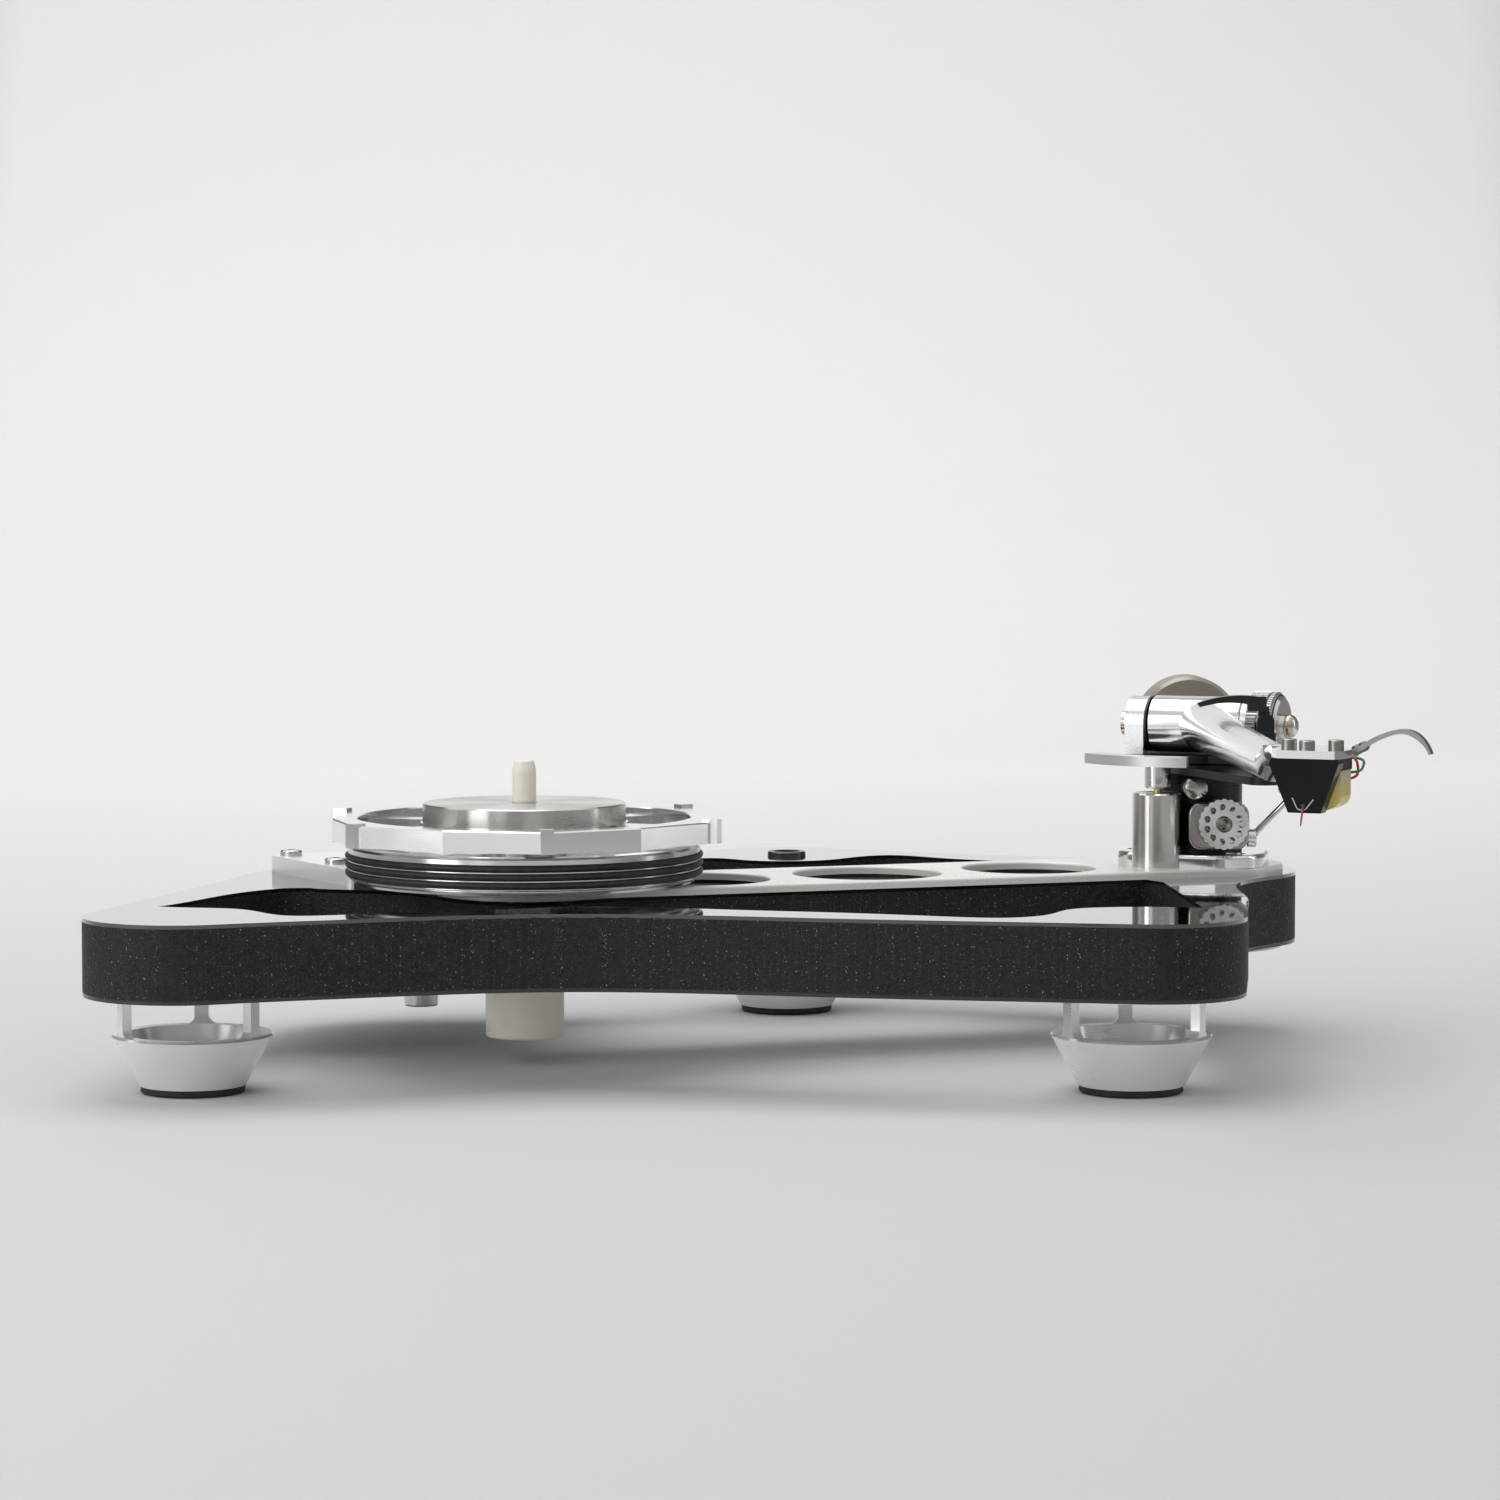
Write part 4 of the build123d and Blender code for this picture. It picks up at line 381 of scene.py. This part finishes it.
FINISH = {
    "plinth_core": foam_edge(),
    "top_skin": lacquer(),
    "bottom_skin": moulded("lower_laminate", BLACK, 0.25, coat=0.4),
    "top_brace": brace_finish(),
    "rear_plug": turned("plug_dark_steel", (0.10, 0.10, 0.105), 0.25, middle("rear_plug"), metal=0.9),
    "foot_pads": rubber("pad_rubber", (0.012, 0.012, 0.012)),
    "foot_screws": screw_steel,
    "bearing_housing": ceramic(),
    "bearing_nut": turned("nut_metal", SILVER, 0.25, HUB),
    "bearing_bush": turned("bush_bronze", (0.7, 0.5, 0.26), 0.25, HUB),
    "thrust_ball": screw_steel,
    "platter_shaft": polished_ring,
    "subplatter": turned_hub,
    "support_ring": polished_ring,
    "hub_disc": turned("hub_disc_turned", (0.66, 0.65, 0.63), 0.25, HUB, groove=5200.0, depth=0.000001,
                       tone=0.02, streak=0.85),
    "motor_body": satin("motor_case", (0.74, 0.74, 0.73), 0.3, 2200.0, tone=0.04),
    "motor_plate": satin("motor_plate_metal", (0.93, 0.93, 0.92), 0.32, 1400.0, 0.000003, metal=0.3,
                         stretch=(6, 0.6, 6), tone=0.02),
    "motor_screws": screw_steel,
    "motor_shaft": turned("motor_shaft_steel", SILVER, 0.15, MOTOR),
    "pulley": turned("pulley_turned", SILVER, 0.24, MOTOR, streak=0.7),
    "belts": rubber("belt_rubber", (0.022, 0.022, 0.023), 0.5),
    "power_socket": moulded("socket_black", (0.015, 0.015, 0.015), 0.4),
    "arm_base": turned("arm_base_polished", BRIGHT, 0.12, pillar_top, groove=1800.0, depth=0.000003,
                       tone=0.03),
    "arm_base_screws": screw_steel,
    "arm_pillar": turned("pillar_black", (0.025, 0.025, 0.027), 0.28, pillar_top, metal=0.7),
    "arm_mount_nut": turned("mount_nut_metal", SILVER, 0.24, pillar_top),
    "lead_gland": rubber("gland_rubber", (0.014, 0.014, 0.014)),
    "arm_bearings": turned("bearing_steel", SILVER, 0.18, pillar_top),
    "rest_bracket": black_anodised,
    "rest_post": black_anodised,
    "rest_clip": moulded("clip_black", BLACK, 0.3, coat=0.2),
    "lift_cylinder": turned("lift_brushed", (0.72, 0.70, 0.68), 0.22, lift_middle, groove=5200.0,
                            depth=0.0000004, tone=0.008, streak=0.85),
    "lift_rod": turned("rod_brass", (0.78, 0.6, 0.32), 0.18, lift_middle),
    "lift_head": turned("lift_head_turned", SILVER, 0.18, lift_middle),
    "lift_grub_screw": screw_steel,
    "lift_platform": satin("platform_pale", (0.74, 0.75, 0.74), 0.3, 2600.0, 0.000006, metal=0.7, tone=0.03),
    "cue_lever": arm_polish,
    "bias_housing": satin("housing_steel", (0.40, 0.38, 0.36), 0.16, 2400.0, 0.000003, tone=0.04),
    "bias_knob": turned("bias_knob_turned", BRIGHT, 0.2, bias_middle, BACK, depth=0.000002, streak=0.8),
    "cue_damper": satin("damper_steel", (0.46, 0.45, 0.43), 0.2, 2400.0, 0.000004, tone=0.04),
    "yoke_base": black_anodised,
    "yoke_cheeks": satin("cheek_satin", (0.80, 0.81, 0.82), 0.26, 2400.0, 0.000004, tone=0.03),
    "cheek_shim": moulded("shim_black", BLACK, 0.35),
    "tilt_pins": screw_steel,
    "side_nut": turned("nut_warm_steel", (0.60, 0.55, 0.48), 0.2, PIVOT, TILT_AXIS),
    "force_dial": knurled("dial_knurl", (0.86, 0.85, 0.83), 0.2, PIVOT, TILT_AXIS, DIAL_TEETH,
                          DIAL_KNURL_FROM),
    "arm_tube": arm_polish,
    "headshell_screws": satin("headshell_screw_steel", (0.4, 0.39, 0.37), 0.3),
    "cartridge_body": moulded("cartridge_black", (0.005, 0.005, 0.0055), 0.16, coat=0.04, specular=0.16),
    "cartridge_shell": shell_plastic(),
    "stylus": moulded("stylus_red", (0.55, 0.03, 0.02), 0.3),
    "cartridge_leads": moulded("lead_sleeve", (0.3, 0.06, 0.05), 0.35),
    "finger_lift": satin("finger_lift_steel", (0.42, 0.41, 0.39), 0.22, 2600.0),
    "counterweight": turned("weight_grey", (0.36, 0.335, 0.30), 0.34, middle("counterweight"), BACK,
                            metal=0.9, streak=0.6),
    "counterweight_screw": screw_steel,
    "lower_brace": brace_finish(),
    "spindle": ceramic(),
}
for foot in ("front_left_foot", "front_right_foot", "rear_foot"):
    FINISH[foot] = turned(foot + "_turned", (0.94, 0.94, 0.93), 0.25, middle(foot), groove=6500.0,
                          depth=0.0000004, tone=0.006, metal=0.6, streak=0.75)

for node, material in FINISH.items():
    obj = frame["nodes"][node]
    obj.data.materials.clear()
    obj.data.materials.append(material)


# ---------------------------------------------------------------- detail pieces
def piece(name, data, material, body):
    """Links a finished mesh to the scene as a piece that rides on a body."""
    obj = bpy.data.objects.new(name, data)
    bpy.context.scene.collection.objects.link(obj)
    data.materials.append(material)
    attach(obj, body)
    return obj


def circle_point(place, side, other, angle, radius):
    """A point on a circle round place that lies along side and other."""
    return place + (side * math.cos(angle) + other * math.sin(angle)) * radius


def ring_of(mesh, place, side, other, radius, steps):
    """A ring of vertices round place."""
    return [mesh.verts.new(circle_point(place, side, other, 2 * math.pi * k / steps, radius))
            for k in range(steps)]


def skinned(name, mesh, rings, material, body, closed=False):
    """Joins rings of vertices into a closed skin and makes the piece."""
    steps = len(rings[0])
    pairs = list(zip(rings, rings[1:]))
    if closed:
        pairs.append((rings[-1], rings[0]))
    for first, second in pairs:
        for k in range(steps):
            after = (k + 1) % steps
            mesh.faces.new((first[k], first[after], second[after], second[k]))
    if not closed:
        mesh.faces.new(reversed(rings[0]))
        mesh.faces.new(rings[-1])
    bmesh.ops.recalc_face_normals(mesh, faces=mesh.faces)
    for face in mesh.faces:
        face.smooth = len(face.verts) == 4
    data = bpy.data.meshes.new(name)
    mesh.to_mesh(data)
    return piece(name, data, material, body)


def smoothed(points, steps=8):
    """More points along a smooth curve that passes through all the given ones."""
    ends = [points[0] * 2 - points[1], *points, points[-1] * 2 - points[-2]]
    path = []
    for a, b, c, d in zip(ends, ends[1:], ends[2:], ends[3:]):
        for k in range(steps):
            t = k / steps
            squared = (2 * a - 5 * b + 4 * c - d) * t * t
            cubed = (3 * b - a - 3 * c + d) * t ** 3
            path.append(0.5 * (2 * b + (c - a) * t + squared + cubed))
    return path + [points[-1]]


def wire(name, points, radius, material, body, smooth=True, closed=False, sides=14):
    """A round wire through points, smoothed unless it should keep its corners."""
    path = smoothed(points) if smooth else list(points)
    count = len(path)
    mesh = bmesh.new()
    rings = []
    side = None
    for k, place in enumerate(path):
        after = path[(k + 1) % count] if closed or k < count - 1 else place
        before = path[k - 1] if closed or k > 0 else place
        way = (after - before).normalized()
        side = way.orthogonal() if side is None else side - way * side.dot(way)
        side.normalize()
        rings.append(ring_of(mesh, place, side, way.cross(side), radius, sides))
    return skinned(name, mesh, rings, material, body, closed)


def lathe(name, profile, centre, axis, material, body, steps=96):
    """A turned part from (radius, height) pairs about an axis."""
    axis = Vector(axis).normalized()
    side = axis.orthogonal().normalized()
    other = axis.cross(side)
    mesh = bmesh.new()
    rings = [ring_of(mesh, Vector(centre) + axis * height, side, other, radius, steps)
             for radius, height in profile]
    return skinned(name, mesh, rings, material, body)


def surface_point(node, origin, direction, proud=0.0):
    """Where a line from origin meets a CAD node, lifted off it by proud."""
    hit, place, normal, _ = frame["nodes"][node].ray_cast(origin, direction)
    return place + normal * proud if hit else None


bpy.context.view_layer.update()
CARTRIDGE = middle("cartridge_body")
CARTRIDGE_LOW, CARTRIDGE_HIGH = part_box("cartridge_body")
# places given to at_arm are in millimetres, all other lengths in metres
CLEAR_IN_FRONT = 40.0
CLEAR_ABOVE = 0.03
MARK_R = 0.00016
MARK_PROUD = 0.00004
LEAD_R = 0.00036
SLEEVE_R = 0.00055
HOOP_R = 0.00032
HOOP_STEPS = 72
LINE_R = 0.00028
RIM_R = 0.00022
DIMPLES = 10


def at_arm(across, forward, height):
    """A point along the arm's own directions, in millimetres from the cartridge's middle and bottom."""
    place = CARTRIDGE + (ACROSS * across + FORWARD * forward) / 1000
    return Vector((place.x, place.y, CARTRIDGE_LOW.z + height / 1000))


# the pale open line low on the cartridge front
mark_material = moulded("pale_mark", (0.55, 0.55, 0.54), 0.4)
mark = [(-2.9, 3.9), (-2.25, 2.6), (-1.6, 1.3), (-0.9, 0.85), (0.4, 0.85), (1.3, 1.7), (2.8, 3.6)]
mark_points = [surface_point("cartridge_body", at_arm(x, CLEAR_IN_FRONT, z), -FORWARD, MARK_PROUD)
               for x, z in mark]
if all(mark_points):
    wire("cartridge_mark", mark_points, MARK_R, mark_material, "arm_wand")

# four coloured leads from the cartridge's pins, looping out to the right under the plate
# for each: its tone, how far it bows out and how far its pin is below the cartridge's top
LEADS = {
    "red": ((0.62, 0.02, 0.015), 3.4, 6.2),
    "green": ((0.02, 0.26, 0.10), 7.6, 4.4),
    "blue": ((0.03, 0.09, 0.42), 5.2, 3.6),
    "white": ((0.78, 0.77, 0.73), 4.0, 2.8),
}
PIN_SPACING = 2.8
FIRST_PIN = 4.2
top = (CARTRIDGE_HIGH.z - CARTRIDGE_LOW.z) * 1000
for k, (colour, (tone, bow, drop)) in enumerate(LEADS.items()):
    across = FIRST_PIN - PIN_SPACING * k
    low = top - drop
    points = [at_arm(across, -5.5, low), at_arm(across + 0.3, -8.0, low),
              at_arm(across + bow, -10.5, low + 0.2), at_arm(across + bow + 1.6, -12.0, low + 1.6),
              at_arm(across + bow + 0.3, -13.5, top - 0.9),
              at_arm(across - 1.5, -15.5, top - 0.5), at_arm(-4.5 - 1.5 * k, -18.0, top - 0.2)]
    lead = wire("lead_" + colour, points, LEAD_R, moulded("lead_" + colour, tone, 0.32, coat=0.2),
                "arm_wand")
    sleeve = [at_arm(across, -4.6, low), at_arm(across, -6.6, low)]
    wire("sleeve_" + colour, sleeve, SLEEVE_R, moulded("sleeve_" + colour, tuple(c * 0.8 for c in tone), 0.4),
         "arm_wand", smooth=False)
    if k == 0:
        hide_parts("cartridge_leads")

# the thin red cantilever, its dark socket and the tiny stone at its tip
stylus_points = sorted((v.co.copy() for v in frame["nodes"]["stylus"].data.vertices), key=lambda p: p.z)
count = max(4, len(stylus_points) // 10)
stylus_tip = sum(stylus_points[:count], Vector()) / count
stylus_root = sum(stylus_points[-count:], Vector()) / count
STYLUS_WAY = (stylus_tip - stylus_root).normalized()
red_metal = moulded("cantilever_red", (0.36, 0.018, 0.03), 0.3, coat=0.4)
length = (stylus_tip - stylus_root).length
cantilever_profile = [(0.00030, -0.0006), (0.00030, 0.0), (0.00027, length * 0.4),
                      (0.00020, length - 0.0002), (0.00012, length)]
cantilever = lathe("cantilever", cantilever_profile, stylus_root, STYLUS_WAY, red_metal,
                   "arm_wand", steps=24)
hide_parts("stylus")
socket_profile = [(0.0004, -0.0005), (0.00062, -0.0003), (0.00062, 0.0001), (0.0004, 0.0002)]
lathe("cantilever_socket", socket_profile, stylus_root, STYLUS_WAY,
      moulded("socket_grey", (0.05, 0.05, 0.05), 0.35), "arm_wand", steps=24)
stone_profile = [(0.00012, 0.0), (0.00012, 0.00025), (0.00002, 0.00045)]
lathe("stylus_stone", stone_profile, stylus_tip - STYLUS_WAY * 0.0002, -UP,
      moulded("stone_pale", (0.6, 0.58, 0.55), 0.1, coat=1.0), "arm_wand", steps=12)

# the dark ferrule at the finger lift's root
finger = [v.co.copy() for v in frame["nodes"]["finger_lift"].data.vertices]
reach = min(v.dot(ACROSS) for v in finger)
near_end = [v for v in finger if v.dot(ACROSS) < reach + 0.0012]
next_part = [v for v in finger if reach + 0.004 < v.dot(ACROSS) < reach + 0.006]
root = sum(near_end, Vector()) / len(near_end)
FINGER_WAY = (sum(next_part, Vector()) / len(next_part) - root).normalized() if next_part else ACROSS
ferrule = [(0.0009, -0.0004), (0.0013, -0.0001), (0.00135, 0.0016), (0.00115, 0.0017), (0.00115, 0.0020),
           (0.00135, 0.0021), (0.0013, 0.0034), (0.0009, 0.0040)]
lathe("finger_ferrule", ferrule, root, FINGER_WAY, satin("ferrule_steel", (0.16, 0.155, 0.15), 0.28),
      "arm_wand")


def hoop(name, radius, height, thick, centre, axis, material, body):
    """A thin ring of round section about an axis."""
    axis = Vector(axis).normalized()
    side = axis.orthogonal().normalized()
    other = axis.cross(side)
    place = Vector(centre) + axis * height
    points = [circle_point(place, side, other, 2 * math.pi * k / HOOP_STEPS, radius)
              for k in range(HOOP_STEPS)]
    return wire(name, points, thick, material, body, smooth=False, closed=True)


def radius_at(node, centre, axis, height):
    """How far a turned CAD node reaches from its axis at a height, met from above."""
    place = surface_point(node, Vector(centre) + Vector(axis) * height + UP * CLEAR_ABOVE, -UP)
    return (place - Vector(centre) - Vector(axis) * height).length if place else None


# the rounded end of the damper
damper_low, damper_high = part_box("cue_damper")
damper_end = Vector(((damper_low.x + damper_high.x) / 2, damper_low.y, (damper_low.z + damper_high.z) / 2))
reach = (damper_high.z - damper_low.z) / 2
damper_profile = [(reach, -0.0030), (reach * 1.02, -0.0026), (reach * 1.02, 0.0), (reach * 0.96, 0.0005),
                  (reach * 0.8, 0.0009), (reach * 0.5, 0.0012), (reach * 0.15, 0.0013)]
damper_steel = turned("damper_cap_steel", (0.50, 0.49, 0.47), 0.16, damper_end, FRONT, depth=0.000001)
lathe("damper_cap", damper_profile, damper_end, FRONT, damper_steel, "plinth", steps=64)

# the tracking dial's black line, its stepped face and the warm dome at its middle
pivot_height = PIVOT.dot(ACROSS)
dial_heights = [v.co.dot(ACROSS) - pivot_height for v in frame["nodes"]["force_dial"].data.vertices]
dial_low, dial_high = min(dial_heights), max(dial_heights)
line_black = moulded("dial_line", (0.008, 0.008, 0.008), 0.4)
bright_turned = turned("dial_face", (0.88, 0.87, 0.85), 0.2, PIVOT, ACROSS, groove=5200.0, depth=0.000001,
                       tone=0.03, streak=0.7)
dial_span = dial_high - dial_low
line_height = dial_low + 0.60 * dial_span
face_height = dial_low + 0.685 * dial_span
line_reach = radius_at("force_dial", PIVOT, ACROSS, line_height)
face_reach = radius_at("force_dial", PIVOT, ACROSS, face_height)
hoop("dial_line", line_reach, line_height, LINE_R, PIVOT, ACROSS, line_black, "tracking_dial")
for k, share in enumerate((0.82, 0.67, 0.52)):
    hoop("dial_step_%d" % (k + 1), face_reach * share, face_height, HOOP_R, PIVOT, ACROSS, bright_turned,
         "tracking_dial")
dome = [(0.0036, 0.0), (0.0037, 0.0008), (0.0036, 0.0016), (0.0032, 0.0024), (0.0025, 0.0030),
        (0.0014, 0.0034), (0.0003, 0.0035)]
lathe("dial_dome", [(r * 1.02, h) for r, h in dome], PIVOT + ACROSS * (dial_high - 0.00352), ACROSS,
      turned("dome_warm_steel", (0.58, 0.53, 0.47), 0.18, PIVOT, ACROSS), "tracking_dial")

# the bias knob's dark middle and its ring of round dimples
knob_low, knob_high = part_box("bias_knob")
knob_middle = (knob_low + knob_high) / 2
knob_front = Vector((knob_middle.x, knob_low.y, knob_middle.z))
dimple_metal = satin("dimple_steel", (0.20, 0.195, 0.19), 0.2, 2600.0, 0.000003)
knob_reach = (knob_high.z - knob_low.z) / 2
middle_profile = [(0.0018, -0.0004), (0.0024, -0.0002), (0.0024, 0.0001), (0.0016, 0.00015),
                  (0.0014, -0.0001), (0.0002, -0.0001)]
middle_steel = turned("bias_middle_steel", (0.30, 0.28, 0.25), 0.25, knob_front, FRONT)
lathe("bias_middle", middle_profile, knob_front + BACK * 0.00016, FRONT, middle_steel,
      "bias_dial")
hoop("bias_rim", knob_reach * 0.90, -0.0002, RIM_R, knob_front, FRONT, bright_turned,
     "bias_dial")
dimple_profile = [(0.00085, -0.0003), (0.0010, -0.0001), (0.0010, 0.00005), (0.00075, 0.0001),
                  (0.0006, -0.0001), (0.0001, -0.00015)]
for k in range(DIMPLES):
    angle = 2 * math.pi * (k + 0.5) / DIMPLES
    place = knob_front + Vector((math.cos(angle), 0, math.sin(angle))) * knob_reach * 0.64
    lathe("bias_dimple_%d" % (k + 1), dimple_profile, place + BACK * 0.00011, FRONT, dimple_metal,
          "bias_dial", steps=28)


# ---------------------------------------------------------------- stage and light
def stage_material():
    """Pale studio backdrop with painted light falloff: lighter towards the back, and painted shade well
    outside the object, at its front and sides.
    """
    n = Nodes("studio_paper_falloff")
    fibre = n.noise(n.coords, 900.0, 3.0)
    cloud = n.noise(n.coords, 2.0, 2.0)
    x, y, _ = n.split(n.coords)
    away = n.vector("LENGTH", n.combine(x, n.math("MINIMUM", y, 0.0), 0.0))
    # painted light falloff: the floor darker towards the front and lighter towards the back
    paper_falloff = n.mix(n.span(y, 0.15, 1.3), (0.67, 0.67, 0.672), (0.93, 0.93, 0.93))
    paper_falloff = n.mix(n.span(cloud, 0.3, 0.7, 0.0, 0.03), paper_falloff, (0.72, 0.72, 0.72))
    # painted shade: darker again well outside the object, at its front and sides
    base = n.mix(n.span(away, 0.60, 0.92), paper_falloff, (0.30, 0.29, 0.28))
    return n.set(base=base, rough=0.75, normal=n.bump(fibre, 0.00002, 0.3))


def backdrop():
    """A pale floor that curves up into a wall behind the object."""
    mesh = bmesh.new()
    radius, back, half, wall, steps = 0.9, 1.5, 14.0, 4.0, 16
    profile = [(-half, 0.0), (back, 0.0)]
    for k in range(1, steps + 1):
        angle = math.radians(90 * k / steps)
        profile.append((back + radius * math.sin(angle), radius * (1 - math.cos(angle))))
    profile.append((back + radius, wall))
    rows = [[mesh.verts.new((x, y, z)) for y, z in profile] for x in (-half, half)]
    for k in range(len(profile) - 1):
        mesh.faces.new((rows[0][k], rows[1][k], rows[1][k + 1], rows[0][k + 1]))
    data = bpy.data.meshes.new("studio_backdrop")
    mesh.to_mesh(data)
    obj = bpy.data.objects.new("studio_backdrop", data)
    bpy.context.scene.collection.objects.link(obj)
    for polygon in data.polygons:
        polygon.use_smooth = True
    data.materials.append(stage_material())
    obj.location.z = -0.0002


def area_light(name, place, target, size, power):
    """A soft rectangular light at place that faces target."""
    data = bpy.data.lights.new(name, "AREA")
    data.shape = "RECTANGLE"
    data.size, data.size_y = size
    data.energy = power
    obj = bpy.data.objects.new(name, data)
    bpy.context.scene.collection.objects.link(obj)
    obj.location = place
    obj.rotation_euler = (Vector(target) - Vector(place)).to_track_quat("-Z", "Y").to_euler()


backdrop()
area_light("top_softbox", (-0.25, 0.15, 1.7), (-0.05, 0.1, 0), (1.5, 1.2), 9)
area_light("left_softbox", (-0.84, -0.66, 0.47), (0, 0, 0.40), (0.42, 0.92), 2.9)
area_light("left_fill", (-1.9, 0.2, 1.0), (0, 0, 0.05), (0.9, 0.9), 3.5)
area_light("front_left_card", (-0.45, -0.86, 0.20), (0.12, -0.1, 0.16), (0.24, 0.46), 0.20)
area_light("right_strip", (0.95, 0.0, 0.36), (0, 0, 0.30), (0.07, 0.7), 0.42)
area_light("backdrop_wash", (-0.45, 1.25, 2.0), (-0.25, 2.3, 0.4), (2.6, 0.8), 12.6)


def studio_world():
    """Soft surroundings: bright overhead and behind, a warm mid grey at the sides and in front."""
    world = bpy.data.worlds.new("studio_world")
    world.use_nodes = True
    tree = world.node_tree
    back = tree.nodes["Background"]
    coords = tree.nodes.new("ShaderNodeTexCoord")
    split = tree.nodes.new("ShaderNodeSeparateXYZ")
    tree.links.new(coords.outputs["Generated"], split.inputs[0])
    parts = []
    for axis, low, high, start, stop in (("Y", 0.1, 0.8, 0.30, 0.85), ("Z", 0.15, 0.9, 0.0, 0.45)):
        node = tree.nodes.new("ShaderNodeMapRange")
        tree.links.new(split.outputs[axis], node.inputs["Value"])
        node.inputs["From Min"].default_value = low
        node.inputs["From Max"].default_value = high
        node.inputs["To Min"].default_value = start
        node.inputs["To Max"].default_value = stop
        parts.append(node)
    add = tree.nodes.new("ShaderNodeMath")
    tree.links.new(parts[0].outputs[0], add.inputs[0])
    tree.links.new(parts[1].outputs[0], add.inputs[1])
    back.inputs["Color"].default_value = (1.0, 0.985, 0.97, 1)
    tree.links.new(add.outputs[0], back.inputs["Strength"])
    bpy.context.scene.world = world


studio_world()
bpy.context.scene.view_settings.view_transform = "Standard"
